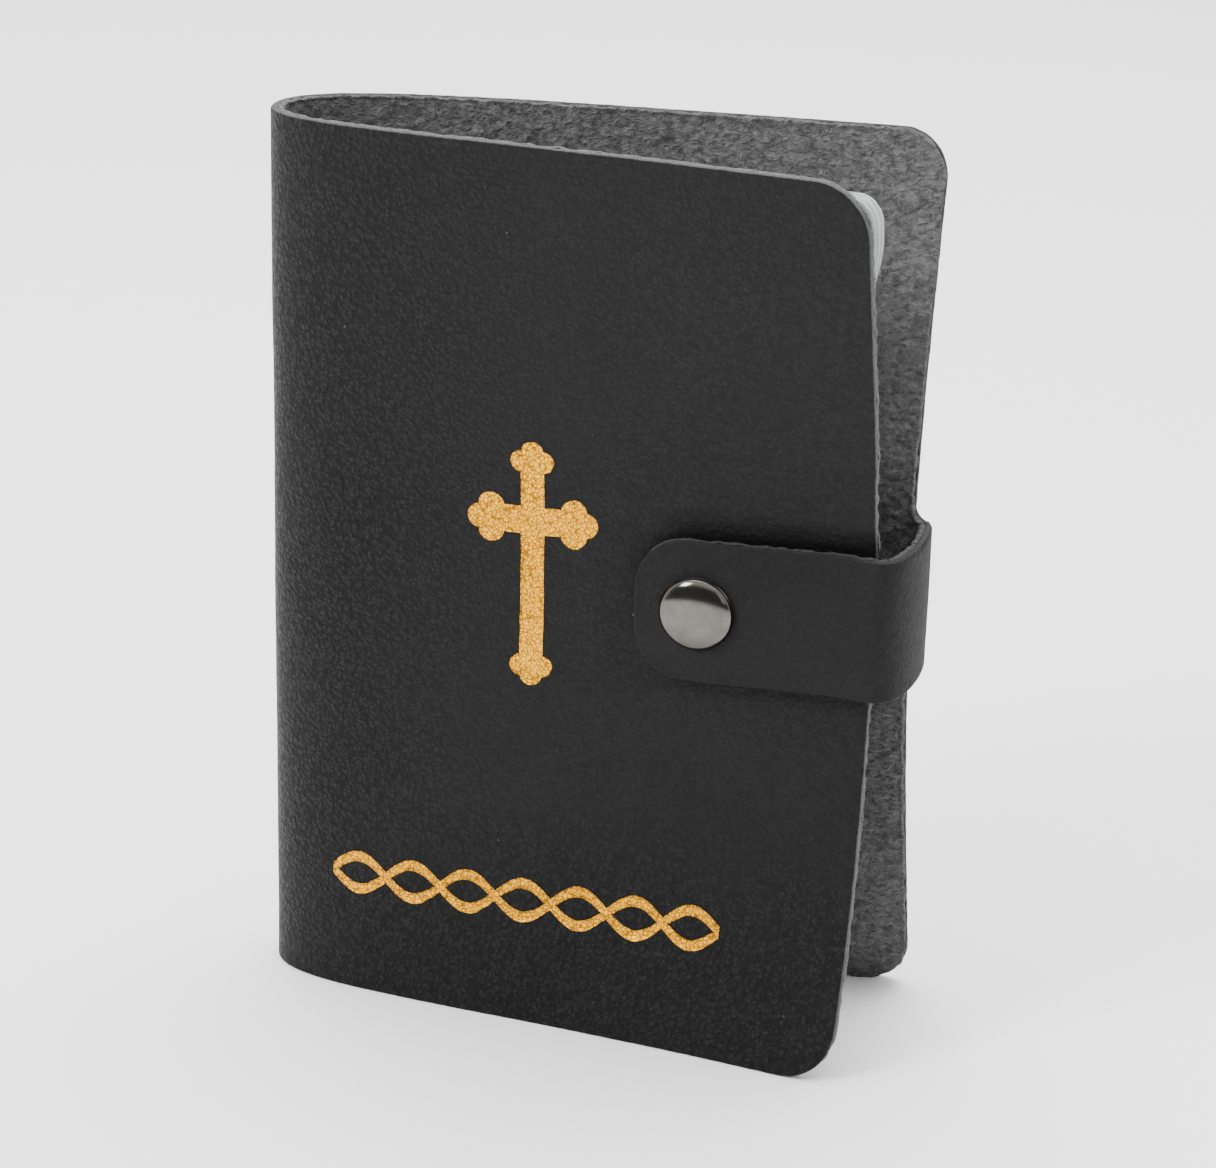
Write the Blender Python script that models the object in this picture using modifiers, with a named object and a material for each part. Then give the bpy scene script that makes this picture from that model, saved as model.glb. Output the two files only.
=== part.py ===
"""Pocket holder for prayer cards.

A leather wallet, cut from one two-ply sheet, folded round a soft spine and held shut by a strap with a
press snap. Clear pocket sleeves are bound inside the front cover. The sheet is described in developed
coordinates: s runs along its outer face from the spine tip (positive towards the front cover's free edge,
negative towards the back cover's and on along the strap), n runs inwards from the outer face, z is height.
place() rolls those coordinates into the standing, slightly opened wallet.
"""
import math
from functools import lru_cache

import bmesh
import bpy
from mathutils import Matrix, Vector

MM = 0.001

# ---- driving dimensions, in millimetres ----
HEIGHT = 127.0
LEATHER = 2.0                 # the whole sheet: skin, glue line, suede lining
PLY_GAP = 0.3
PLY = (LEATHER - PLY_GAP) / 2
CORNER = 7.5                  # radius of the front cover's free corners
BACK_CORNER = 6.6
SPINE_Y = -11.6               # the spine tip, from the back cover's plane
BACK_REACH = 91.8             # back cover's free edge, from the spine tip along X
FRONT_REACH = 85.0
FRONT_SPREAD = -36.8          # front cover's free corners, from the back cover's plane
STRAP_Z = 65.2                # height of the strap's middle
BACK_PULL = 12.6              # how far the strap draws the back cover's edge forwards
BACK_DRAW = 1.8               # and in towards the spine
FRONT_PUSH = 9.6              # and the front cover's edge backwards
FRONT_FLARE = 0.6             # how much sooner the front cover springs back above the strap

STRAP_WIDTH = 20.0
STRAP_FILLET = 2.0
STRAP_STAND_OFF = 2.4         # room between strap and front cover for the snap
STRAP_FRONT_X = 87.0          # where the strap's bend meets its front run
STRAP_BEND_X = 93.9           # the bend's control points, beyond its widest place
STRAP_TIP_X = 54.3
STRAP_TIP_RADIUS = 7.0
STRAP_DROOP = 0.9             # how much lower the tip hangs than the root

BACK_SPINE = 2.16             # the plan curves' inner control points: on the spine's tangent,
BACK_KNEE = (30.2, 1.6)       # then where each cover settles into its own plane
FRONT_SPINE = -25.1
FRONT_KNEE = (26.8, -22.1)

HINGE_GAP = 0.3
SPINE_HINGE = 6.5             # the two spine hinges, along the sheet from the spine tip
ROWS = (21.0, 36.0, 51.0, 65.0, 79.0, 93.0, 108.0)

SLEEVES = 6
SLEEVE_PITCH = 0.6
SLEEVE_THICK = 0.45
FILM = 0.14
SLEEVE_Z = (3.0, 124.8)
SLEEVE_CORNER = 3.5
SLEEVE_START = 13.0
SLEEVE_OVERHANG = -1.2        # past the front cover's free edge
EDGE_BAND = 8.0               # the stretch beside a free edge that follows its corners
BINDING = (8.6, 12.6)         # the binding strip's two edges, along the sheet
BINDING_CLEAR = 0.3

SNAP_X = 64.0
SNAP_Z = 65.2
CAP_RADIUS = 5.2
CAP_DOME = 1.9
CAP_SKIRT = 0.3               # the cap's straight rim, and how far it is turned under
CAP_ARCS = (0, 20, 40, 58, 74, 90)      # degrees from the top, where the dome's rings lie
SNAP_GAP = 0.3
SNAP_STEPS = 20
HOLE_DEPTH = 12.0
STEM_RADIUS = 1.2
STUD_RADIUS = 1.7
STUD_CHAMFER = 0.3
STUD_NECK = 1.3
STUD_SHORT = 0.7              # from the stud's head to the strap's inner face
STUD_FLANGE = 4.0
STUD_FLANGE_THICK = 0.3
SOCKET_RADIUS = 4.6
SOCKET_BORE = 2.4
SOCKET_RIM = 0.35
SOCKET_WALL = 1.1
SOCKET_DEPTH = 1.2
SPRING_WIRE = 0.3
SPRING_INSET = 0.1
SPRING_SEAT = 0.7             # above the socket's lip
POST_RADIUS = 0.8
POST_FLANGE = 2.6
POST_SUNK = 0.55              # the post's head is sunk this far into the lining
POST_THICK = 0.4

FOIL_LIFT = 0.15
FOIL_THICK = 0.12
FOIL_STEP = 6.0               # the foil's longest edges, short enough to follow the cover
CROSS_CENTRE = (44.2, 74.3)   # s and z of the crossing
CROSS_ARMS = (11.4, 9.2, 24.1, 9.2)     # up, left, down, right
CROSS_SHAFT, CROSS_ARM = 3.3, 4.0
BUD_RADII = (1.56, 1.82)       # the lobes of the upright arms, of the level arms
LOBE_BACK, LOBE_OUT = 1.85, 0.95        # a side lobe's centre, from the arm's end and middle, in radii
BUD_ARC = 6                   # segments in each lobe
BAND_CENTRE = (44.4, 18.2)
BAND_LENGTH, BAND_HEIGHT = 58.0, 6.6
BAND_LOOPS = 7
BAND_STROKE = 1.6
BAND_STEPS = 10               # segments in each loop

# the origin is under the middle of the standing wallet's box
BOX_X = (0.0, 93.28)
BOX_Y = (-36.031, 0.784)
ORIGIN = Vector((sum(BOX_X) / 2, sum(BOX_Y) / 2, 0.0))
SAMPLES = 240

COLOURS = {
    "leather": ((0.030, 0.030, 0.031), 0.55, 0.0),
    "suede": ((0.110, 0.110, 0.110), 0.95, 0.0),
    "vinyl": ((0.80, 0.82, 0.82), 0.12, 0.0),
    "foil": ((0.83, 0.52, 0.17), 0.35, 1.0),
    "snap_metal": ((0.30, 0.29, 0.27), 0.18, 1.0),
    "spring_steel": ((0.55, 0.54, 0.52), 0.30, 1.0),
}


# ---- the wallet's shape in plan ----
def bezier(points, t):
    a, b, c, d = points
    u = 1.0 - t
    return a * u**3 + b * (3 * u * u * t) + c * (3 * u * t * t) + d * t**3


def squeeze(z, flare=0.0):
    """1 at the strap, falling to 0 at the wallet's top and bottom; flare makes it fall sooner above."""
    off = (z - STRAP_Z) / (HEIGHT / 2)
    parabola = max(0.0, 1.0 - off**2)
    if off <= 0:
        return parabola
    bell = math.cos(min(off, 1.0) * math.pi / 2) ** 2
    return flare * bell + (1 - flare) * parabola


def edge_point(reach, spread, shift, draw=0.0):
    """A free edge in plan: shifted towards the other one, and drawn in towards the spine."""
    y = spread + shift
    chord = math.hypot(reach, spread - SPINE_Y) - draw
    return Vector((math.sqrt(chord**2 - (y - SPINE_Y) ** 2), y))


def back_controls(z):
    pull = BACK_PULL * squeeze(z)
    knee = Vector((BACK_KNEE[0], BACK_KNEE[1] - pull / 12))
    edge = edge_point(BACK_REACH, 0.0, -pull, BACK_DRAW * squeeze(z))
    return Vector((0, SPINE_Y)), Vector((0, BACK_SPINE)), knee, edge


def front_controls(z):
    push = FRONT_PUSH * squeeze(z, FRONT_FLARE)
    knee = Vector((FRONT_KNEE[0], FRONT_KNEE[1] + push / 12))
    return Vector((0, SPINE_Y)), Vector((0, FRONT_SPINE)), knee, edge_point(FRONT_REACH, FRONT_SPREAD, push)


def measured(points):
    """A plan curve as (distance, point) pairs."""
    rows, run = [(0.0, points[0])], 0.0
    for before, after in zip(points, points[1:]):
        run += (after - before).length
        rows.append((run, after))
    return rows


@lru_cache(maxsize=None)
def cover_curve(side, z):
    controls = front_controls(z) if side > 0 else back_controls(z)
    return measured([bezier(controls, i / SAMPLES) for i in range(SAMPLES + 1)])


def along(rows, distance):
    """Point and direction at a distance along a measured curve; past its ends it runs on straight."""
    low, high = 0, len(rows) - 1
    while high - low > 1:
        middle = (low + high) // 2
        if rows[middle][0] <= distance:
            low = middle
        else:
            high = middle
    (d0, p0), (d1, p1) = rows[low], rows[high]
    way = (p1 - p0) / (d1 - d0)
    return p0 + way * (distance - d0), way.normalized()


FRONT_LENGTH = cover_curve(1, 0.0)[-1][0]
BACK_LENGTH = cover_curve(-1, 0.0)[-1][0]


@lru_cache(maxsize=None)
def strap_curve():
    """The strap's outer face in plan, from the back cover's free edge round to its tip."""
    back_end, way = along(cover_curve(-1, STRAP_Z), cover_curve(-1, STRAP_Z)[-1][0])
    root = back_end + way * STRAP_FILLET
    front_face = front_at(STRAP_FRONT_X)[1]
    front_y = front_face.y - STRAP_STAND_OFF - LEATHER
    tip_y = front_at(STRAP_TIP_X)[1].y - STRAP_STAND_OFF - LEATHER
    bend_start = root + way * ((STRAP_BEND_X - root.x) / way.x)
    front_start = Vector((STRAP_FRONT_X, front_y))
    slope = (front_y - tip_y) / (STRAP_FRONT_X - STRAP_TIP_X)
    bend_end = Vector((STRAP_BEND_X, front_y + slope * (STRAP_BEND_X - STRAP_FRONT_X)))
    bend = [bezier((root, bend_start, bend_end, front_start), i / SAMPLES) for i in range(SAMPLES + 1)]
    return measured([back_end] + bend + [Vector((STRAP_TIP_X, tip_y))])


def front_at(x):
    """Where the front cover's outer face, at the strap's height, has this x: (s, point)."""
    return min(cover_curve(1, STRAP_Z), key=lambda row: abs(row[1].x - x))


STRAP_LENGTH = strap_curve()[-1][0]
STRAP_RUN = (strap_curve()[-1][1] - strap_curve()[-2][1]).length
BEND_LENGTH = STRAP_LENGTH - STRAP_RUN - STRAP_FILLET
STRAP_ROOT = STRAP_FILLET + BEND_LENGTH * 0.25       # the strap's two hinges, a quarter of the
STRAP_TURN = STRAP_FILLET + BEND_LENGTH * 0.75       # bend in from either end of it


def sheet_point(s, z):
    """Point and direction of the sheet's outer face, the direction leading from back to front."""
    side = 1 if s > 0 else -1
    rows = cover_curve(side, round(z, 3))
    length = rows[-1][0]
    nominal = FRONT_LENGTH if side > 0 else BACK_LENGTH
    if side < 0 and -s > BACK_LENGTH + 1e-6:
        beyond = -s - BACK_LENGTH
        point, way = along(strap_curve(), beyond)
        share = max(0.0, 1.0 - beyond / STRAP_FILLET)
        point = point + (rows[-1][1] - strap_curve()[0][1]) * share
        return point, -way
    point, way = along(rows, abs(s) * length / nominal)
    return point, way * side


def place(s, n, z):
    """Developed coordinates to the wallet's own frame, in metres."""
    point, way = sheet_point(s, z)
    inwards = Vector((-way.y, way.x))
    spot = point + inwards * n
    hang_down = STRAP_DROOP * max(0.0, -s - BACK_LENGTH - STRAP_ROOT) / (STRAP_LENGTH - STRAP_ROOT)
    return (Vector((spot.x, spot.y, z - hang_down)) - ORIGIN) * MM


# ---- building blocks ----
def clear_scene():
    for thing in list(bpy.data.objects):
        bpy.data.objects.remove(thing, do_unlink=True)


def material(slot):
    found = bpy.data.materials.get(slot)
    if found:
        return found
    colour, roughness, metallic = COLOURS[slot]
    made = bpy.data.materials.new(slot)
    made.use_nodes = True
    shader = made.node_tree.nodes["Principled BSDF"]
    shader.inputs["Base Color"].default_value = (*colour, 1.0)
    shader.inputs["Roughness"].default_value = roughness
    shader.inputs["Metallic"].default_value = metallic
    return made


def add_object(name, bm, slot, collection, hinge=None):
    mesh = bpy.data.meshes.new(name)
    bmesh.ops.recalc_face_normals(bm, faces=bm.faces)
    bm.to_mesh(mesh)
    bm.free()
    mesh.materials.append(material(slot))
    thing = bpy.data.objects.new(name, mesh)
    collection.objects.link(thing)
    hang(thing, hinge)
    return thing


def hang(thing, hinge):
    """Parent a piece to its hinge and leave it where it is."""
    if hinge:
        thing.parent = hinge
        thing.matrix_parent_inverse = Matrix.Translation(-hinge.matrix_world.translation)


def hinge_empty(name, spot, collection, parent=None):
    empty = bpy.data.objects.new(name, None)
    collection.objects.link(empty)
    empty.location = spot
    hang(empty, parent)
    bpy.context.view_layer.update()
    return empty


def quarter_rows(height, radius, rising):
    """Heights of a rounded corner's rows, closest together where it is steepest."""
    steps = [radius * (1 - math.cos(math.radians(a))) for a in (0, 28, 55, 90)]
    if rising:
        return [height + step for step in steps]
    return [height - step for step in reversed(steps)]


def rounded_reach(z, bottom, top, radius, reach):
    """How far a panel with rounded free corners reaches at a height."""
    into = min(z - bottom, top - z)
    if into >= radius:
        return reach
    return reach - radius + math.sqrt(max(0.0, radius**2 - (radius - into) ** 2))


def bent_slab(rows, stations, outer, inner, open_top=False):
    """A grid of rows (heights) by stations(z) (distances along the sheet), as thick as from depth outer
    to inner, rolled into place. With open_top its upper edge has no faces, ready for Solidify."""
    columns = len(stations(rows[0])) - 1
    bm = bmesh.new()
    bmesh.ops.create_grid(bm, x_segments=columns, y_segments=len(rows) - 1, size=1.0)
    made = bmesh.ops.extrude_face_region(bm, geom=list(bm.faces))
    far = {v for v in made["geom"] if isinstance(v, bmesh.types.BMVert)}
    if open_top:
        tops = [f for f in bm.faces if all(v.co.y > 1.0 - 1e-6 for v in f.verts)]
        bmesh.ops.delete(bm, geom=tops, context="FACES_ONLY")
    for vert in bm.verts:
        z = rows[round((vert.co.y + 1) / 2 * (len(rows) - 1))]
        s = stations(z)[round((vert.co.x + 1) / 2 * columns)]
        vert.co = place(s, inner if vert in far else outer, z)
    return bm


def cover_stations(reach, length):
    """Distances along a cover: close together in the roll by the spine, then ever wider, with the last
    few following the free edge."""
    start = SPINE_HINGE + HINGE_GAP / 2
    last = length - EDGE_BAND
    count = 8
    fixed = [start + (last - start) * (i / count) ** 1.6 for i in range(count + 1)]
    return fixed + [last + (reach - last) * i / 3 for i in (1, 2, 3)]


def two_plies(name, rows, stations, collection, hinge=None):
    """The skin and the suede lining of one rigid stretch of the sheet."""
    skin = bent_slab(rows, stations, 0.0, PLY)
    lining = bent_slab(rows, stations, PLY + PLY_GAP, LEATHER)
    return (add_object(f"{name}_skin", skin, "leather", collection, hinge),
            add_object(f"{name}_lining", lining, "suede", collection, hinge))


def drill(thing, seat, radius, cutters):
    """Cut a round hole through a piece, about the snap's axis."""
    bpy.ops.mesh.primitive_cylinder_add(vertices=16, radius=radius * MM, depth=HOLE_DEPTH * MM)
    cutter = bpy.context.object
    cutter.matrix_world = seat.matrix_world
    cutter.name = f"hole_{thing.name}"
    cutter.hide_render = True
    cutter.display_type = "WIRE"
    for group in list(cutter.users_collection):
        group.objects.unlink(cutter)
    cutters.objects.link(cutter)
    cut = thing.modifiers.new("hole", "BOOLEAN")
    cut.operation = "DIFFERENCE"
    cut.solver = "EXACT"
    cut.object = cutter


# ---- leather ----
def front_cover(collection, hinge):
    rows = quarter_rows(0.0, CORNER, True) + list(ROWS) + quarter_rows(HEIGHT, CORNER, False)

    def stations(z):
        return cover_stations(rounded_reach(z, 0.0, HEIGHT, CORNER, FRONT_LENGTH), FRONT_LENGTH)

    return two_plies("front_cover", rows, stations, collection, hinge)


def spine(collection, hinge):
    half = SPINE_HINGE - HINGE_GAP / 2
    rows = [0.0] + list(ROWS[::2]) + [HEIGHT]
    two_plies("spine", rows, lambda z: [half * (i / 4 - 1) for i in range(9)], collection, hinge)


def tab_reach(z):
    """How far the back cover's tab runs on past its free edge, with a fillet into that edge."""
    off = abs(z - STRAP_Z) - STRAP_WIDTH / 2
    if off <= 0:
        return STRAP_ROOT - HINGE_GAP / 2
    if off >= STRAP_FILLET:
        return 0.0
    return STRAP_FILLET - math.sqrt(STRAP_FILLET**2 - (STRAP_FILLET - off) ** 2)


def back_cover(collection):
    edge = STRAP_WIDTH / 2
    tab = [STRAP_Z + side * (edge + d) for side in (-1, 1) for d in (0.0, 0.02, 0.4, STRAP_FILLET)]
    rows = quarter_rows(0.0, BACK_CORNER, True) + list(ROWS) + quarter_rows(HEIGHT, BACK_CORNER, False) + tab

    def stations(z):
        reach = rounded_reach(z, 0.0, HEIGHT, BACK_CORNER, BACK_LENGTH) + tab_reach(z)
        return [-s for s in cover_stations(reach, BACK_LENGTH)]

    two_plies("back_cover", sorted(rows), stations, collection)


def strap_bend(collection, hinge):
    start = BACK_LENGTH + STRAP_ROOT + HINGE_GAP / 2
    end = BACK_LENGTH + STRAP_TURN - HINGE_GAP / 2
    rows = [STRAP_Z - STRAP_WIDTH / 2, STRAP_Z, STRAP_Z + STRAP_WIDTH / 2]
    two_plies("strap_bend", rows, lambda z: [-start - (end - start) * i / 6 for i in range(7)],
              collection, hinge)


def strap_front(collection, hinge):
    low, high = STRAP_Z - STRAP_WIDTH / 2, STRAP_Z + STRAP_WIDTH / 2
    rows = quarter_rows(low, STRAP_TIP_RADIUS, True) + quarter_rows(high, STRAP_TIP_RADIUS, False)
    start = BACK_LENGTH + STRAP_TURN + HINGE_GAP / 2
    bend_end = BACK_LENGTH + STRAP_LENGTH - STRAP_RUN

    def stations(z):
        reach = BACK_LENGTH + rounded_reach(z, low, high, STRAP_TIP_RADIUS, STRAP_LENGTH)
        bend = [-start - (bend_end - start) * i / 3 for i in range(4)]
        return bend + [-bend_end - (reach - bend_end) * i / 3 for i in (1, 2, 3)]

    return two_plies("strap", rows, stations, collection, hinge)


# ---- clear sleeves ----
def sleeve_depth(number):
    return LEATHER + BINDING_CLEAR + number * SLEEVE_PITCH


def sleeve(number, collection, hinge):
    """A pocket of thin film, open at its top edge."""
    bottom, top = SLEEVE_Z
    rows = quarter_rows(bottom, SLEEVE_CORNER, True) + list(ROWS) + quarter_rows(top, SLEEVE_CORNER, False)
    length = FRONT_LENGTH + SLEEVE_OVERHANG
    last = length - EDGE_BAND

    def stations(z):
        reach = rounded_reach(z, bottom, top, SLEEVE_CORNER, length)
        fixed = [SLEEVE_START + (last - SLEEVE_START) * (i / 6) ** 1.4 for i in range(7)]
        return fixed + [last + (reach - last) * i / 2 for i in (1, 2)]

    depth = sleeve_depth(number)
    bm = bent_slab(rows, stations, depth, depth + SLEEVE_THICK, open_top=True)
    pocket = add_object(f"sleeve_{number + 1}", bm, "vinyl", collection, hinge)
    film = pocket.modifiers.new("film", "SOLIDIFY")
    film.thickness = FILM * MM
    film.offset = -1.0
    film.use_even_offset = True


def binding(collection, hinge):
    rows = [SLEEVE_Z[0]] + list(ROWS[::2]) + [SLEEVE_Z[1]]
    start, end = BINDING
    outer = LEATHER + BINDING_CLEAR
    inner = sleeve_depth(SLEEVES - 1) + SLEEVE_THICK
    bm = bent_slab(rows, lambda z: [start + (end - start) * i / 3 for i in range(4)], outer, inner)
    add_object("binding_strip", bm, "vinyl", collection, hinge)


# ---- foil ----
def lay_foil(bm, name, collection, hinge):
    """Thicken a flat foil shape (x along the sheet, y up) and lay it on the front cover."""
    bm.normal_update()
    bmesh.ops.triangulate(bm, faces=bm.faces)
    long_edges = list(bm.edges)
    while long_edges:
        long_edges = [edge for edge in bm.edges if edge.calc_length() > FOIL_STEP]
        bmesh.ops.subdivide_edges(bm, edges=long_edges, cuts=1)
        bmesh.ops.triangulate(bm, faces=bm.faces)
    made = bmesh.ops.extrude_face_region(bm, geom=list(bm.faces))
    far = {v for v in made["geom"] if isinstance(v, bmesh.types.BMVert)}
    for vert in bm.verts:
        depth = -FOIL_LIFT - (FOIL_THICK if vert in far else 0.0)
        vert.co = place(vert.co.x, depth, vert.co.y)
    add_object(name, bm, "foil", collection, hinge)


def arc(centre, radius, start, end):
    """Points of a lobe, from angle start to angle end about its centre."""
    angles = [start + (end - start) * i / BUD_ARC for i in range(BUD_ARC + 1)]
    return [centre + Vector((math.cos(a), math.sin(a))) * radius for a in angles]


def budded_arm(length, half_width, bud):
    """One arm of the cross along +X: its three lobes, each of radius bud, taken counter-clockwise."""
    tip = Vector((length - bud, 0.0))
    side = Vector((length - LOBE_BACK * bud, LOBE_OUT * bud))
    across = tip - side
    valley = (tip + side) / 2 + Vector((-across.y, across.x)).normalized() * math.sqrt(
        bud**2 - across.length**2 / 4)
    neck_angle = math.pi + math.asin((side.y - half_width) / bud)
    side_valley = math.atan2(valley.y - side.y, valley.x - side.x)
    tip_valley = math.atan2(valley.y - tip.y, valley.x - tip.x)
    upper = arc(side, bud, side_valley, neck_angle)
    lower = [Vector((p.x, -p.y)) for p in reversed(upper)]
    return lower[:-1] + arc(tip, bud, -tip_valley, tip_valley) + upper[1:]


def foil_cross(collection, hinge):
    """A cross with a bud of three lobes on each arm."""
    halves = (CROSS_SHAFT / 2, CROSS_ARM / 2)
    outline = []
    for quarter, length in enumerate(CROSS_ARMS):
        turn = Matrix.Rotation(math.pi / 2 * (quarter + 1), 2)
        outline += [turn @ p for p in budded_arm(length, halves[quarter % 2], BUD_RADII[quarter % 2])]
        corner = Vector((math.cos(math.pi * (quarter + 1.5) / 2) * math.sqrt(2) * halves[0],
                         math.sin(math.pi * (quarter + 1.5) / 2) * math.sqrt(2) * halves[1]))
        outline.append(corner)
    bm = bmesh.new()
    centre = Vector(CROSS_CENTRE)
    bm.faces.new([bm.verts.new((p + centre).to_3d()) for p in outline])
    lay_foil(bm, "foil_cross", collection, hinge)


def foil_band(collection, hinge):
    """A border of two waves that cross in a chain of loops."""
    steps = BAND_LOOPS * BAND_STEPS
    half_stroke = BAND_STROKE / 2
    swing = BAND_HEIGHT / 2 - half_stroke
    bm = bmesh.new()
    bmesh.ops.create_grid(bm, x_segments=steps, y_segments=3, size=1.0)
    loops = [f for f in bm.faces if abs(f.calc_center_median().y) < 0.1]
    bmesh.ops.delete(bm, geom=loops, context="FACES_ONLY")
    for vert in bm.verts:
        share = (vert.co.x + 1) / 2
        height = swing * abs(math.sin(math.pi * BAND_LOOPS * share))
        outer = abs(vert.co.y) > 0.5
        reach = height + half_stroke if outer else max(0.0, height - half_stroke)
        vert.co = Vector((BAND_CENTRE[0] + BAND_LENGTH * (share - 0.5),
                          BAND_CENTRE[1] + math.copysign(reach, vert.co.y), 0.0))
    bmesh.ops.remove_doubles(bm, verts=bm.verts, dist=0.001)
    lay_foil(bm, "foil_band", collection, hinge)


# ---- the press snap ----
def turned(name, profile, slot, collection, seat):
    """A turned piece about the snap's axis. The profile's points are (radius, height out of the cover);
    it runs down the outer side, top to bottom. A piece with a bore has its profile closed."""
    bm = bmesh.new()
    verts = [bm.verts.new((r * MM, 0.0, h * MM)) for r, h in profile]
    for a, b in zip(verts, verts[1:]):
        bm.edges.new((a, b))
    if profile[0][0] > 0:
        bm.edges.new((verts[-1], verts[0]))
    mesh = bpy.data.meshes.new(name)
    bm.to_mesh(mesh)
    bm.free()
    mesh.materials.append(material(slot))
    piece = bpy.data.objects.new(name, mesh)
    collection.objects.link(piece)
    turn = piece.modifiers.new("turn", "SCREW")
    turn.steps = SNAP_STEPS
    turn.render_steps = SNAP_STEPS
    turn.use_merge_vertices = True
    turn.merge_threshold = 0.00001
    piece.parent = seat


def snap_seat(name, collection, hinge):
    """An empty in the middle of the snap, on the front cover, with its Z axis out of the cover."""
    s, point = front_at(SNAP_X)
    along_strap = strap_curve()[-1][1] - strap_curve()[-2][1]
    out = Vector((-along_strap.y, along_strap.x, 0.0)).normalized()
    seat = bpy.data.objects.new(name, None)
    collection.objects.link(seat)
    seat.location = (Vector((point.x, point.y, SNAP_Z)) - ORIGIN) * MM
    seat.rotation_euler = out.to_track_quat("Z", "Y").to_euler()
    hang(seat, hinge)
    bpy.context.view_layer.update()
    return seat


def snap_on_strap(collection, seat):
    """The cap outside the strap, with its stem; the socket and its spring ring on the strap's inner face."""
    strap_in = STRAP_STAND_OFF - SNAP_GAP
    strap_out = STRAP_STAND_OFF + LEATHER + SNAP_GAP
    arcs = [math.radians(a) for a in CAP_ARCS]
    dome = [(CAP_RADIUS * math.sin(a), strap_out + CAP_SKIRT + CAP_DOME * math.cos(a)) for a in arcs]
    under = [(CAP_RADIUS - CAP_SKIRT, strap_out), (STEM_RADIUS, strap_out)]
    stem = [(STEM_RADIUS, strap_in), (0.0, strap_in)]
    turned("snap_cap", dome + under + stem, "snap_metal", collection, seat)
    lip = strap_in - SOCKET_DEPTH
    turned("snap_socket", [(SOCKET_RADIUS, strap_in), (SOCKET_RADIUS, strap_in - SOCKET_RIM),
                           (SOCKET_BORE + SOCKET_WALL, lip), (SOCKET_BORE, lip), (SOCKET_BORE, strap_in)],
           "snap_metal", collection, seat)
    ring_out = SOCKET_BORE - SPRING_INSET
    ring_in = ring_out - SPRING_WIRE
    high = lip + SPRING_SEAT
    low = high - SPRING_WIRE
    turned("snap_spring", [(ring_out, high), (ring_out, low), (ring_in, low), (ring_in, high)],
           "spring_steel", collection, seat)


def snap_on_cover(collection, seat):
    """The stud outside the front cover, and the post that holds it from within."""
    flange = SNAP_GAP + STUD_FLANGE_THICK
    head = STRAP_STAND_OFF - STUD_SHORT
    turned("snap_stud", [(0.0, head), (STUD_RADIUS - STUD_CHAMFER, head), (STUD_RADIUS, head - STUD_CHAMFER),
                         (STUD_NECK, flange), (STUD_FLANGE, flange), (STUD_FLANGE, SNAP_GAP),
                         (0.0, SNAP_GAP)], "snap_metal", collection, seat)
    inside = POST_SUNK - LEATHER
    bottom = inside - POST_THICK
    turned("snap_post", [(0.0, 0.0), (POST_RADIUS, 0.0), (POST_RADIUS, inside), (POST_FLANGE, inside),
                         (POST_FLANGE, bottom), (0.0, bottom)], "snap_metal", collection, seat)


def main():
    clear_scene()
    parts = bpy.data.collections.new("card_wallet")
    cutters = bpy.data.collections.new("cutters")
    bpy.context.scene.collection.children.link(parts)
    bpy.context.scene.collection.children.link(cutters)

    spine_axis = hinge_empty("spine_axis", place(-SPINE_HINGE, 0.0, 0.0), parts)
    front_axis = hinge_empty("front_axis", place(SPINE_HINGE, 0.0, 0.0), parts, spine_axis)
    swing_axis = hinge_empty("strap_swing_axis", place(-BACK_LENGTH - STRAP_ROOT, 0.0, STRAP_Z), parts)
    lift_spot = place(-BACK_LENGTH - STRAP_TURN, 0.0, STRAP_Z)
    lift_axis = hinge_empty("strap_lift_axis", lift_spot, parts, swing_axis)
    cover_seat = snap_seat("snap_cover_seat", parts, front_axis)
    strap_seat = snap_seat("snap_strap_seat", parts, lift_axis)

    back_cover(parts)
    spine(parts, spine_axis)
    front_plies = front_cover(parts, front_axis)
    strap_bend(parts, swing_axis)
    strap_plies = strap_front(parts, lift_axis)
    drill(front_plies[0], cover_seat, POST_RADIUS + SNAP_GAP, cutters)
    drill(front_plies[1], cover_seat, POST_FLANGE + SNAP_GAP, cutters)
    for ply in strap_plies:
        drill(ply, strap_seat, STEM_RADIUS + SNAP_GAP, cutters)

    binding(parts, front_axis)
    for number in range(SLEEVES):
        middle = sleeve_depth(number) + SLEEVE_THICK / 2
        axis = hinge_empty(f"sleeve_{number + 1}_axis", place(SLEEVE_START, middle, 0.0), parts, front_axis)
        sleeve(number, parts, axis)
    foil_cross(parts, front_axis)
    foil_band(parts, front_axis)
    snap_on_strap(parts, strap_seat)
    snap_on_cover(parts, cover_seat)


main()
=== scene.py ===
"""Looks for the prayer card wallet: every piece rebuilt finely in mesh code and dressed procedurally.

The leather sheet is described in developed coordinates, in millimetres: s runs along its outer face from the
spine tip (positive towards the front cover's free edge, negative towards the back cover's and on along the
strap), n runs inwards from the outer face, z is height. place() rolls them into the standing wallet.
"""

import math

import bmesh
import bpy
import numpy as np
from mathutils import Matrix, Vector


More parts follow.
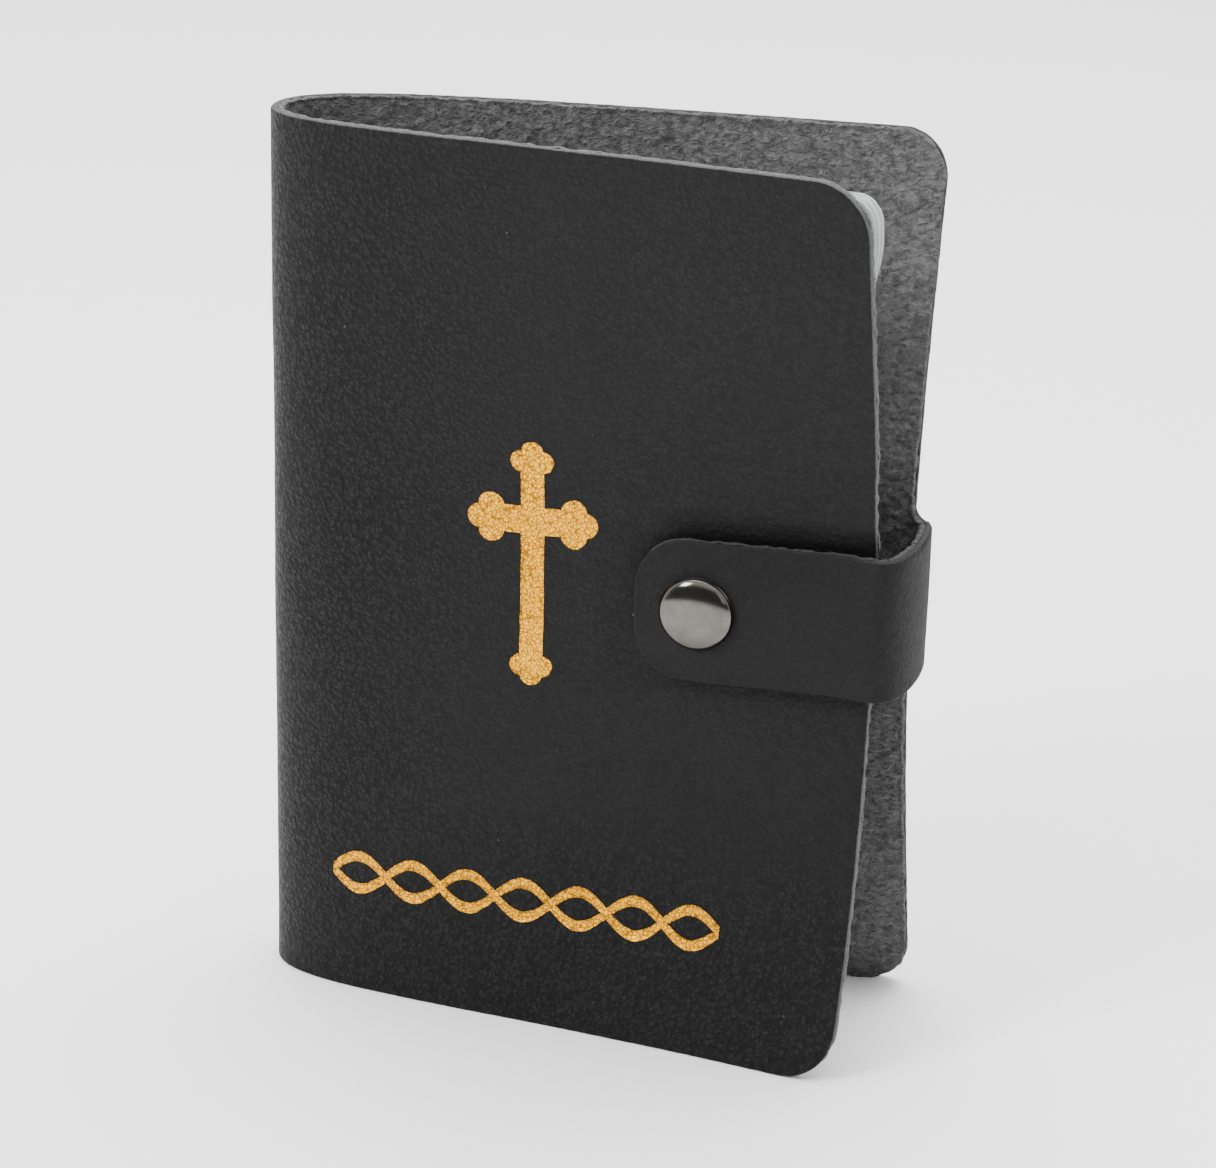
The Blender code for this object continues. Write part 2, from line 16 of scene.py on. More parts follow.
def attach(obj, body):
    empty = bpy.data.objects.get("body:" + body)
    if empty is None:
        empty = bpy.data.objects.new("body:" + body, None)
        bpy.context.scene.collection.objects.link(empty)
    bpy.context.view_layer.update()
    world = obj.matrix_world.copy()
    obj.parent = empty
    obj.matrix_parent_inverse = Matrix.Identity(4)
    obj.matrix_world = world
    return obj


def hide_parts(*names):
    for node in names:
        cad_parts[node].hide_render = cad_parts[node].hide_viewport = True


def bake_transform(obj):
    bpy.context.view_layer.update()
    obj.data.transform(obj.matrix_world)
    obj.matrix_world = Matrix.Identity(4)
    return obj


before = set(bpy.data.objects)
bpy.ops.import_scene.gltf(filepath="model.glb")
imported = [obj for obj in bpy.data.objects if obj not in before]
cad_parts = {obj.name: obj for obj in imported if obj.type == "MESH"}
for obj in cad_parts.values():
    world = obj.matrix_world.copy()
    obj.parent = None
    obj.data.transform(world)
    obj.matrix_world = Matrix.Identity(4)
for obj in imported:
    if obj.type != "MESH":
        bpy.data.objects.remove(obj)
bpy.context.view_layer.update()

MM = 0.001

# ---- the wallet's dimensions, in millimetres, as in the CAD ----
HEIGHT = 127.0
LEATHER = 2.0
PLY_FACE = 1.0  # where skin and lining meet
CORNER = 7.5
BACK_CORNER = 6.6
SPINE_Y = -11.6
BACK_REACH, FRONT_REACH = 91.8, 85.0
FRONT_SPREAD = -36.8
BACK_PULL, FRONT_PUSH = 12.6, 9.6  # how far the strap squeezes each free edge
BACK_DRAW = 1.8
KNEE_SHARE = 12  # a cover's knee moves by this part of its free edge's shift
FLARE = 0.6
BACK_SPINE, BACK_KNEE = 2.16, (30.2, 1.6)
FRONT_SPINE, FRONT_KNEE = -25.1, (26.8, -22.1)
STRAP_Z = 65.2
STRAP_WIDTH = 20.0
STRAP_FILLET = 2.0
STRAP_STAND_OFF = 2.4
STRAP_FRONT_X, STRAP_BEND_X, STRAP_TIP_X = 87.0, 93.9, 54.3
STRAP_TIP_RADIUS = 7.0
STRAP_DROOP = 0.9  # how much lower the tip hangs than the root
STRAP_HINGES = (0.25, 0.75)  # along the strap's bend
SLEEVES = 6
SLEEVE_PITCH, SLEEVE_THICK = 0.6, 0.45
SLEEVE_Z = (3.0, 124.8)
SLEEVE_CORNER = 3.5
SLEEVE_START = 13.0
SLEEVE_DEPTH = 2.3  # of the first sleeve, under the sheet's outer face
BINDING = (8.6, 12.6)
SNAP_X, SNAP_Z = 64.0, 65.2
CAP_RADIUS = 5.2
ORIGIN = (46.64, -17.6235)

CROSS_CENTRE = (44.2, 74.3)
CROSS_ARMS = (11.4, 9.2, 24.1, 9.2)
CROSS_SHAFT, CROSS_ARM = 3.3, 4.0
BUD_RADII = (1.56, 1.82)
LOBE_BACK, LOBE_OUT = 1.85, 0.95
BAND_CENTRE = (44.4, 18.2)
BAND_LENGTH, BAND_HEIGHT = 58.0, 6.6
BAND_LOOPS = 7
BAND_STROKE = 1.6

# ---- fineness ----
STEP = 0.62  # grid step of the leather
SLEEVE_STEP, BINDING_STEP = STEP * 1.8, STEP * 2
EDGE_STEPS = (0.0, 0.07, 0.16, 0.28, 0.45, 0.75)
TAB_STEPS = (0.0, 0.05, 0.2, 0.5, 1.0, 1.5, STRAP_FILLET)
TAB_COLUMNS = 24
TURNS = 96  # round the snap
CORNER_STEPS = 8  # in a rounded corner of the snap's profiles
BUD_ARC = 14
BAND_STEPS = 24  # in one loop of the border
FOIL_CUT = 1.2
CURVE_T = np.linspace(0.0, 1.0, 700)
BERNSTEIN = np.stack([(1 - CURVE_T) ** 3, 3 * CURVE_T * (1 - CURVE_T) ** 2,
                      3 * CURVE_T**2 * (1 - CURVE_T), CURVE_T**3], 1)
TABLE_Z = np.linspace(-2.0, HEIGHT + 2.0, 132)
TABLE_U = 900
PAST_EDGE = 1.2  # the front cover's table is read on this far past its free edge
LAST_ROW = len(TABLE_Z) - 1.001  # just short of the last
WELD_STEP = 1e-4
SEAM_WIDTH = 1e-3

# ---- relief, in millimetres ----
EDGE_ROUND = 0.38
GROOVE = 0.12  # along the joint of the two plies, on the cut edge
WALL_BOW, WALL_DEPTH = 0.03, 0.62  # the cut edge bows out by this, at this share of a ply
WALL_ROUGH, WALL_SIZE, WALL_SHIFT = 0.03, 2.0, 9
EDGE_RAGGED = ((0.035, 1.1, 40), (0.16, 1.1, 60))  # of skin and lining: depth, then size and seed
RAGGED_REACH = 0.4
SLOPE_STEP = 0.02  # over which the way in from the edge is measured
# a noise here is (size, seed, octaves)
SLOW_SWELL, SLOW_NOISE = 0.06, (17.0, 11, 2)
FINE_SWELL, FINE_NOISE = 0.012, (2.6, 17, 2)
NAP_HEIGHT = 0.24
NAP_WARP, NAP_WARP_NOISE = 0.8, (2.2, 71, 2)
NAP_LENGTH, NAP_WIDTH, NAP_NOISE = 1.5, 0.95, (0.9, 79, 2)
NAP_FLOOR, NAP_RIDGE, NAP_FUZZ = 0.6, 0.65, 0.45
NAP_RIM, NAP_AT_RIM = 0.3, 0.4  # the nap is trodden down this near the edge, to this share
PRESS = 0.35  # the strap presses the front cover in by this
BULGE = 0.45  # and it swells out by this just beyond the strap's upper edge
PRESS_START = (-2.0, 5.0)  # where the press begins and is full, past the strap's tip
PRESS_FADE = (-1, 4)  # and fades, past the strap's long edges
BULGE_RISE, BULGE_FALL = (0.5, 4.5), (4.5, 14.0)
WRINKLE, WRINKLE_SIZE, WRINKLE_SLANT = 0.12, (2.6, 5.0), 0.25
TIP_LIE, TIP_PAST_SNAP = 2.3, 1.0  # the strap's tip comes down by this, up to this far past the snap
EDGE_LIE, EDGE_LIE_FROM, EDGE_LIE_RUN = 1.8, 4.5, 12
SLEEVE_OUT = -0.6  # past the front cover's edge, at the top corner
SLEEVE_TUCK, TUCK_FROM, TUCK_TO = 3.2, 103.0, 119.0
SLEEVE_STAGGER = (-0.25, 0.15, -0.1, 0.3, 0.05, 0.35)
SLEEVE_DROP = (0.5, 0.2, 0.0, 0.3, 0.1, 0.25)
SLEEVE_FAN, FAN_BELOW_TOP, FAN_ALONG = 0.06, 45, (50, 92)
SLEEVE_WELD, WELD_THINNING = (0.4, 1.4), 0.62
FILM_WAVE, FILM_WAVE_SIZE = 0.07, 23.0
FILM_SWELL, FILM_SWELL_SIZE = 0.02, 9.0
RIB_HEIGHT, RIB_PITCH = 0.05, 1.5  # of the binding's pressed weld
FOIL_LIFT, FOIL_SINK = 0.05, 0.05
FOIL_JITTER, FOIL_NOISE = 0.05, (0.8, 33, 2)
SHARP_ANGLE = 35
SEED_WALL, SEED_NAP, SEED_WRINKLE, SEED_FILM, SEED_FILM_SWELL = 5, 73, 27, 90, 120
LATTICE = 256  # the noise repeats after this many cells
OCTAVE_STEP = 2.03

# ---- textures: a noise is (scale per mm, detail, roughness), a ramp is stops of (position, colour) ----
GRAIN_WARP, GRAIN_CELLS, GRAIN_SHARE = (0.9, 0.9), 1.55, 0.8
SMALL_WARP, SMALL_CELLS, SMALL_SHARE = (2.0, 0.4), 3.0, 0.3
CELL_SMOOTHNESS = 0.6
BY_SPINE = (10.0, 44.0, 0.95, 0.3)  # from and to these positions, from and to these strengths
BY_FOOT = (10.0, 48.0, 1.0, 0.0)
PAST_FOLD = (2.0, 18.0, 0.4, 1.0)
STRAP_GRAIN, STRAP_HANDLED = 0.9, 0.55
GRAIN_PATCHES, PATCH_SPAN = (0.035, 2.0), (0.25, 0.75, 0.75, 1.25)
BACK_PALENESS, FRONT_PALENESS = 0.3, 0.7
SPINE_PALENESS = (-12.0, -2.0)
EDGE_FIBRE, EDGE_BRIGHTER = (3.2, 5.0, 0.7), 1.35
PORES, PORE_SHARE = (5.0, 4.0, 0.6), 0.2
TONE = (0.08, 3.0)
PLAIN = ((0.3, (0.0042, 0.0042, 0.0044)), (0.7, (0.006, 0.006, 0.0062)))
# grain colour by cell depth: painted highlight on the grain's crests, painted shade in its pits
GRAIN_LIGHT_AND_SHADE = ((0.12, (0.015, 0.015, 0.0154)), (0.32, (0.0056, 0.0056, 0.0058)), (0.58, (0.0014, 0.0014, 0.0015)))
HANDLED = (0.01, 0.01, 0.0102, 1.0)
DUST_CELLS, DUST_SIZE, DUST_COLOUR = 0.23, (0.035, 0.02), (0.08, 0.08, 0.08, 1.0)
DUST_NOISE, DUST_RARE = (0.31, 1.0), 0.53
FRONT_EDGE = ((0.04, 0.04, 0.041), (0.085, 0.085, 0.085))
INKED_EDGE = ((0.01, 0.01, 0.01), (0.024, 0.024, 0.024))
EDGE_NOISE, EDGE_NOISE_SHARE, EDGE_SPAN = (2.2, 3.0), 0.22, (0.3, 0.12)
LEATHER_SHINE = ((0.15, 0.38), (0.7, 0.62))
MATT, CUT_ROUGHNESS = (0.9, 0.9, 0.9, 1.0), (0.85, 0.85, 0.85, 1.0)
LEATHER_BUMP = 0.00042

TUFT_WARP, TUFT_STRETCH, TUFTS = (0.8, 1.1), (0.75, 0.75, 1.1), (1.2, 3.0, 0.6, 0.5)
FIBRES, FIBRE_MIX, FIBRE_BUMP = (3.0, 5.0, 0.7), 0.28, 0.22
SUEDE_PATCHES, SUEDE_PATCH_SPAN = (0.06, 3.0), (0.35, 0.7, 0.0, 0.28)
FUR = ((0.3, (0.045, 0.045, 0.045)), (0.7, (0.15, 0.15, 0.149)))
# nap tone by tuft height: mottled tone, with painted shade darkening the low gaps between tufts
TUFT_TONE_AND_SHADE = ((0.34, (0.022, 0.022, 0.022)), (0.43, (0.078, 0.078, 0.0775)),
                (0.53, (0.128, 0.128, 0.127)), (0.66, (0.21, 0.21, 0.208)))
SUEDE_SHADE = (0.06, 0.06, 0.06, 1.0)
SUEDE_EDGE = ((0.07, 0.07, 0.07), (0.15, 0.15, 0.149))
SUEDE_INKED = ((0.012, 0.012, 0.012), (0.035, 0.035, 0.035))
SUEDE_EDGE_SHARE, SUEDE_EDGE_SPAN = 0.3, (0.3, 0.08)
SUEDE_ROUGHNESS = ((0.2, 0.88), (0.8, 1.0))
SUEDE_BUMP = 0.0022

# spots of painted glints on the foil: there the gold is painted lighter, and is more metallic and smoother
FOIL_GLINTS = (2.4, 5.0, 0.65)
# gold tone, lightest at the glinting spots: the foil's tone with painted glints
GOLD = ((0.28, (0.68, 0.28, 0.004)), (0.42, (0.96, 0.42, 0.008)), (0.75, (1.0, 0.52, 0.014)))
# a network of dark gold lines: painted shade in the valleys between the foil's pebbles
VALLEY_WARP, VALLEY_CELLS, VALLEY_SPAN, VALLEY_SHADE_STRENGTH = (1.2, 0.6), 1.9, (0.16, 0.03), 0.85
VALLEY_SHADE_COLOUR = (0.17, 0.058, 0.002, 1.0)
FOIL_METAL = (0.2, 0.4, 0.25, 0.6)
FOIL_ROUGHNESS = ((0.3, 0.52), (0.7, 0.34))
FOIL_BUMP = 0.0002

SMEAR, SMEAR_BUMP, SMEAR_STRENGTH = (0.5, 4.0, 0.6), 0.00002, 0.4
SCRATCH_STRETCH, SCRATCHES = (0.6, 14.0, 14.0), (1.5, 3.0)
GUNMETAL = ((0.3, (0.088, 0.084, 0.076)), (0.7, (0.122, 0.116, 0.105)))
SNAP_ROUGHNESS = ((0.35, 0.1), (0.75, 0.2))
DRAWN_STRETCH, DRAWN = (20.0, 20.0, 1.0), (1.0, 3.0)
STEEL = ((0.3, (0.42, 0.41, 0.39)), (0.7, (0.6, 0.59, 0.57)))
STEEL_ROUGHNESS = ((0.3, 0.22), (0.7, 0.38))

HAZE, HAZE_BUMP, HAZE_STRENGTH = (0.12, 4.0, 0.6), 0.0004, 0.3
SCUFF_STRETCH, SCUFFS = (0.25, 1.0, 2.4), (1.1, 5.0, 0.65)
FILM_SEAM = (1.5, 0.2)
FILM = ((0.3, (0.52, 0.53, 0.54)), (0.7, (0.72, 0.73, 0.74)))
FILM_CLEAR, FILM_WELDED = ((0.35, 0.16), (0.75, 0.34)), (0.62, 0.62, 0.62, 1.0)
FILM_ROUGHNESS = ((0.3, 0.1), (0.8, 0.32))
MIX_A, MIX_B, MIX_RESULT = 6, 7, 2  # the colour sockets of a Mix node

# ---- studio, in metres, degrees and watts ----
CAMERA = (0.09327, -0.47468, 0.2410)
YAW, PITCH, ROLL = 10.83, 20.14, 1.29
LENS, SENSOR = 110.2, 36.0
NEAREST = 0.01
FLOOR = 6.0
FLOOR_TONE, FLOOR_COLOURS = (3.0, 2.0), ((0.3, 0.93), (0.7, 0.95))
FLOOR_GRAIN, FLOOR_ROUGHNESS = (9.0, 2.0), ((0.3, 0.85), (0.7, 0.95))
WORLD_LIGHT = 1.9
DIM_SIDE = 0.12
DIM_SPANS = (("Y", -0.55, 0.1), ("Z", 0.45, 0.8))  # the room turns from dim to white over these
LIGHTS = (
    ("key", (-0.62, -0.60, 0.80), (0, 0, 0.07), (0.34, 0.34), 12.0),
    ("fill", (0.9, -0.8, 0.6), (0, 0, 0.06), (0.6, 0.6), 1.5),
    ("top", (0.0, 0.25, 1.1), (0, 0, 0.05), (1.0, 0.8), 20.0),
)


# ---- the sheet's shape ----
def squeeze(z, flared=False):
    """1 at the strap, falling to 0 at top and bottom; flared gives the front cover's quicker fall above."""
    off = (z - STRAP_Z) / (HEIGHT / 2)
    parabola = np.maximum(0.0, 1.0 - off**2)
    if not flared:
        return parabola
    bell = np.cos(np.clip(off, 0.0, 1.0) * math.pi / 2) ** 2
    return np.where(off > 0, FLARE * bell + (1 - FLARE) * parabola, parabola)


def resample(points, count):
    """The same line at equal distances, and its length."""
    run = np.concatenate([[0.0], np.cumsum(np.linalg.norm(np.diff(points, axis=0), axis=1))])
    wanted = np.linspace(0.0, run[-1], count)
    return np.stack([np.interp(wanted, run, points[:, i]) for i in (0, 1)], 1), run[-1]


def edge_point(reach, spread, shift, draw=0.0):
    """A free edge's place after it is moved sideways, the cover keeping its length but for draw."""
    y = spread + shift
    chord = math.hypot(reach, spread - SPINE_Y) - draw
    return math.sqrt(chord**2 - (y - SPINE_Y) ** 2), y


def cover_line(side, z):
    """A cover's outer face in plan at one height."""
    if side < 0:
        share = float(squeeze(z))
        pull = BACK_PULL * share
        controls = [(0, SPINE_Y), (0, BACK_SPINE), (BACK_KNEE[0], BACK_KNEE[1] - pull / KNEE_SHARE),
                    edge_point(BACK_REACH, 0.0, -pull, BACK_DRAW * share)]
    else:
        push = FRONT_PUSH * float(squeeze(z, flared=True))
        controls = [(0, SPINE_Y), (0, FRONT_SPINE), (FRONT_KNEE[0], FRONT_KNEE[1] + push / KNEE_SHARE),
                    edge_point(FRONT_REACH, FRONT_SPREAD, push)]
    return BERNSTEIN @ np.array(controls, float)


def cover_table(side):
    lines = [resample(cover_line(side, z), TABLE_U) for z in TABLE_Z]
    places = np.stack([line[0] for line in lines])
    ways = np.gradient(places, axis=1) * side
    ways /= np.linalg.norm(ways, axis=2, keepdims=True)
    return np.concatenate([places, ways], 2)


TABLES = {side: cover_table(side) for side in (1, -1)}
FRONT_LENGTH = resample(cover_line(1, 0.0), TABLE_U)[1]
BACK_LENGTH = resample(cover_line(-1, 0.0), TABLE_U)[1]


def look_up(side, share, z):
    """Place and way on a cover, between the table's entries."""
    table = TABLES[side]
    row = np.clip((z - TABLE_Z[0]) / (TABLE_Z[1] - TABLE_Z[0]), 0, LAST_ROW)
    column = share * (TABLE_U - 1)
    i = row.astype(int)
    j = np.clip(column.astype(int), 0, TABLE_U - 2)
    a = (row - i)[:, None]
    b = (column - j)[:, None]
    return ((table[i, j] * (1 - b) + table[i, j + 1] * b) * (1 - a)
            + (table[i + 1, j] * (1 - b) + table[i + 1, j + 1] * b) * a)


def front_at(x):
    """The point of the front cover's outer face, at the strap's height, that is nearest to this x."""
    line = resample(cover_line(1, STRAP_Z), TABLE_U)[0]
    return line[int(np.argmin(abs(line[:, 0] - x)))]


def strap_line():
    """The strap's outer face in plan, from the back cover's free edge to its tip."""
    edge = resample(cover_line(-1, STRAP_Z), TABLE_U)[0]
    way = edge[-1] - edge[-2]
    way /= np.linalg.norm(way)
    root = edge[-1] + way * STRAP_FILLET
    off = STRAP_STAND_OFF + LEATHER
    front = np.array([STRAP_FRONT_X, front_at(STRAP_FRONT_X)[1] - off])
    tip = np.array([STRAP_TIP_X, front_at(STRAP_TIP_X)[1] - off])
    start = root + way * ((STRAP_BEND_X - root[0]) / way[0])
    slope = (front[1] - tip[1]) / (front[0] - tip[0])
    end = np.array([STRAP_BEND_X, front[1] + slope * (STRAP_BEND_X - STRAP_FRONT_X)])
    bend = BERNSTEIN @ np.stack([root, start, end, front])
    points = np.concatenate([edge[-1:], bend, tip[None]])
    run = float(np.linalg.norm(tip - front))
    line, length = resample(points, TABLE_U)
    return line, length, run


STRAP_LINE, STRAP_LENGTH, STRAP_RUN = strap_line()
BEND_LENGTH = STRAP_LENGTH - STRAP_RUN - STRAP_FILLET
STRAP_ROOT = STRAP_FILLET + BEND_LENGTH * STRAP_HINGES[0]
STRAP_TURN = STRAP_FILLET + BEND_LENGTH * STRAP_HINGES[1]
STRAP_WAY = -np.gradient(STRAP_LINE, axis=0)
STRAP_WAY /= np.linalg.norm(STRAP_WAY, axis=1, keepdims=True)
ROOT_SPAN = (-BACK_LENGTH - STRAP_ROOT, -BACK_LENGTH)


def on_strap(s, edge):
    """Place and way along the strap, eased from the back cover's own at its free edge."""
    beyond = -s - BACK_LENGTH
    spots = beyond / STRAP_LENGTH * (TABLE_U - 1)
    steps = np.arange(TABLE_U)
    line = np.stack([np.interp(spots, steps, values) for values in (*STRAP_LINE.T, *STRAP_WAY.T)], 1)
    share = np.clip(1 - beyond / (2 * STRAP_FILLET), 0, 1)[:, None]
    share = share**2 * (3 - 2 * share)
    line[:, :2] += (edge[:, :2] - STRAP_LINE[0]) * share
    line[:, 2:] = line[:, 2:] * (1 - share) + edge[:, 2:] * share
    return line


def place(s, n, z):
    """Developed coordinates (arrays) to row-frame metres."""
    s, n, z = (np.atleast_1d(np.asarray(v, float)) for v in np.broadcast_arrays(s, n, z))
    found = np.zeros((len(s), 4))
    front = s >= 0
    found[front] = look_up(1, np.clip(s[front] / FRONT_LENGTH, 0, PAST_EDGE), z[front])
    back = ~front
    found[back] = look_up(-1, np.clip(-s[back] / BACK_LENGTH, 0, 1), z[back])
    strap = -s > BACK_LENGTH
    if strap.any():
        found[strap] = on_strap(s[strap], found[strap])
    way = found[:, 2:] / np.linalg.norm(found[:, 2:], axis=1, keepdims=True)
    x = found[:, 0] - way[:, 1] * n - ORIGIN[0]
    y = found[:, 1] + way[:, 0] * n - ORIGIN[1]
    droop = STRAP_DROOP * np.maximum(0.0, -s - BACK_LENGTH - STRAP_ROOT) / (STRAP_LENGTH - STRAP_ROOT)
    return np.stack([x, y, z - droop], 1) * MM


# ---- noise ----
def value_noise(x, y, seed):
    """Smooth noise in -1..1 on a unit lattice."""
    table = np.random.default_rng(seed).uniform(-1, 1, (LATTICE, LATTICE))
    last = LATTICE - 1
    i, j = np.floor(x).astype(int), np.floor(y).astype(int)
    a, b = x - i, y - j
    a, b = a**3 * (a * (a * 6 - 15) + 10), b**3 * (b * (b * 6 - 15) + 10)
    corner = [table[(i + di) & last, (j + dj) & last] for di in (0, 1) for dj in (0, 1)]
    low = corner[0] * (1 - b) + corner[1] * b
    high = corner[2] * (1 - b) + corner[3] * b
    return low * (1 - a) + high * a


def fractal(s, z, size, seed, octaves=3):
    total, weight, scale = 0.0, 1.0, 1.0
    for octave in range(octaves):
        total = total + weight * value_noise(s / size * scale, z / size * scale, seed + octave)
        weight *= 0.5
        scale *= OCTAVE_STEP
    return total


def smooth(low, high, value):
    t = np.clip((value - low) / (high - low), 0, 1)
    return t * t * (3 - 2 * t)


# ---- outlines: distance inwards from the sheet's cut edge ----
def rounded(a, b, radius):
    """Distance inside a corner of this radius, a and b being the distances from its two sides."""
    in_corner = (a < radius) & (b < radius)
    return np.where(in_corner, radius - np.hypot(radius - a, radius - b), np.minimum(a, b))


def front_rim(s, z):
    return rounded(FRONT_LENGTH - s, np.minimum(z, HEIGHT - z), CORNER)


def back_rim(s, z):
    """The back cover with its strap tab and the fillets between them."""
    s = -s
    off = abs(z - STRAP_Z)
    panel = rounded(BACK_LENGTH - s, np.minimum(z, HEIGHT - z), BACK_CORNER)
    centre_s, centre_z = BACK_LENGTH + STRAP_FILLET, STRAP_WIDTH / 2 + STRAP_FILLET
    fillet = np.hypot(centre_s - s, centre_z - off) - STRAP_FILLET
    root = np.minimum(fillet, np.minimum(z, HEIGHT - z))
    return np.where(off >= centre_z, panel, np.where(s < centre_s, root, STRAP_WIDTH / 2 - off))


def strap_rim(s, z):
    return rounded(BACK_LENGTH + STRAP_LENGTH + s, STRAP_WIDTH / 2 - abs(z - STRAP_Z), STRAP_TIP_RADIUS)


# ---- meshes ----
def lines_between(start, end, step, closer=True):
    """Positions from start to end about a step apart, closer together at both ends unless told otherwise."""
    margin = EDGE_STEPS[-1] if closer else 0.0
    first, last = start + margin, end - margin
    count = max(2, int(round((last - first) / step)))
    inner = np.linspace(first, last, count + 1)
    if not closer:
        return inner
    near = np.array(EDGE_STEPS[:-1])
    return np.concatenate([start + near, inner, end - near[::-1]])


def panel_patch(start, length, corner, low, high, step, extra=None):
    """Grid of (s, z) over a panel from start to a free edge with rounded corners.

    extra(z) is added to the reach, and brings closer rows beside the strap's long edges.
    """
    zs = lines_between(low, high, step)
    if extra is not None:
        tab_edge = [STRAP_Z + side * (STRAP_WIDTH / 2 + e) for side in (-1, 1) for e in TAB_STEPS]
        zs = np.unique(np.concatenate([zs, tab_edge]))
    into = np.minimum(zs - low, high - zs)
    reach = np.where(into >= corner, length,
                     length - corner + np.sqrt(np.maximum(0, corner**2 - (corner - into) ** 2)))
    if extra is not None:
        reach = reach + extra(zs)
    template = lines_between(0.0, 1.0, step / (length - start), False)
    grid = start + (reach[:, None] - EDGE_STEPS[-1] - start) * template[None]
    last = reach[:, None] - np.array(EDGE_STEPS[:-1])[::-1][None]
    s = np.concatenate([grid, last], 1)
    return s, np.repeat(zs[:, None], s.shape[1], 1)


def band_patch(start, end, low, high, step):
    """Grid of (s, z) over a plain stretch; its low and high sides are cut edges."""
    return np.meshgrid(lines_between(start, end, step, False), lines_between(low, high, step))


def weld(patches):
    """Joins grids into vertices and quads, merging points that fall together."""
    points, quads, base = [], [], 0
    for s, z in patches:
        rows, columns = s.shape
        points.append(np.stack([s.ravel(), z.ravel()], 1))
        index = np.arange(rows * columns).reshape(rows, columns) + base
        corners = [index[:-1, :-1], index[:-1, 1:], index[1:, 1:], index[1:, :-1]]
        quads.append(np.stack(corners, -1).reshape(-1, 4))
        base += rows * columns
    points = np.concatenate(points)
    quads = np.concatenate(quads)
    _, first, inverse = np.unique(np.round(points / WELD_STEP).astype(np.int64), axis=0, return_index=True,
                                  return_inverse=True)
    return points[first], inverse.ravel()[quads]


def boundary(quads):
    """Directed edges that only one face has."""
    edges = np.concatenate([quads[:, [k, (k + 1) % 4]] for k in range(4)])
    edges = edges[edges[:, 0] != edges[:, 1]]
    have = set(map(tuple, edges.tolist()))
    return np.array([e for e in edges.tolist() if (e[1], e[0]) not in have])


def make_object(name, points, faces, rest, rim, material):
    mesh = bpy.data.meshes.new(name)
    mesh.from_pydata(points.tolist(), [], [tuple(dict.fromkeys(f)) for f in faces])
    mesh.validate()
    kept = mesh.attributes.new("rest", "FLOAT_VECTOR", "POINT")
    kept.data.foreach_set("vector", rest.astype(np.float32).ravel())
    mesh.attributes.new("rim", "FLOAT", "POINT").data.foreach_set("value", rim.astype(np.float32))
    mesh.shade_smooth()
    mesh.materials.append(material)
    piece = bpy.data.objects.new(name, mesh)
    bpy.context.scene.collection.objects.link(piece)
    return piece


def cut_edges(s, quads, seams):
    cut = boundary(quads)
    for seam in seams:
        on_seam = abs(s - seam) < SEAM_WIDTH
        cut = cut[~(on_seam[cut[:, 0]] & on_seam[cut[:, 1]])]
    return cut


def way_in(rim_of, s, z):
    """Unit vectors in (s, z) away from the cut edge."""
    step = SLOPE_STEP
    along, up = rim_of(s + step, z) - rim_of(s - step, z), rim_of(s, z + step) - rim_of(s, z - step)
    inward = np.stack([along, up], 1)
    inward /= np.maximum(np.linalg.norm(inward, axis=1, keepdims=True), 1e-9)
    return inward


def fray(s, z, rim, inward, skin):
    amount, size, seed = EDGE_RAGGED[0 if skin else 1]
    ragged = amount * fractal(s, z, size, seed)
    shift = inward * (ragged * np.exp(-np.maximum(rim, 0) / RAGGED_REACH))[:, None]
    return s + shift[:, 0], z + shift[:, 1]


def face_depth(s, z, rim, skin):
    """Depth of a ply's free face, rounded over at the cut edge."""
    turn = np.clip(EDGE_ROUND - rim, 0, EDGE_ROUND)
    drop = EDGE_ROUND - np.sqrt(EDGE_ROUND**2 - turn**2)
    if skin:
        return drop + skin_relief(s, z)
    return LEATHER - drop - nap(s, z) * np.where(rim < NAP_RIM, NAP_AT_RIM, 1.0)


def wall_rings(skin):
    """(depth, inset) of the rings down a ply's cut edge, from its face to the joint of the plies."""
    if skin:
        return (PLY_FACE * WALL_DEPTH, 0.0), (PLY_FACE - GROOVE, WALL_BOW), (PLY_FACE, GROOVE)
    return (LEATHER - PLY_FACE * WALL_DEPTH, 0.0), (PLY_FACE + GROOVE, WALL_BOW), (PLY_FACE, GROOVE)


def wall_faces(cut, loop, first, rings, skin):
    """Quads that join the face's outline to the rings below it, whose points start at first."""
    faces = []
    previous = {v: v for v in loop.tolist()}
    for ring in range(rings):
        current = {v: first + ring * len(loop) + k for k, v in enumerate(loop.tolist())}
        for a, b in cut.tolist():
            quad = [previous[b], previous[a], current[a], current[b]]
            faces.append(quad if skin else quad[::-1])
        previous = current
    return faces


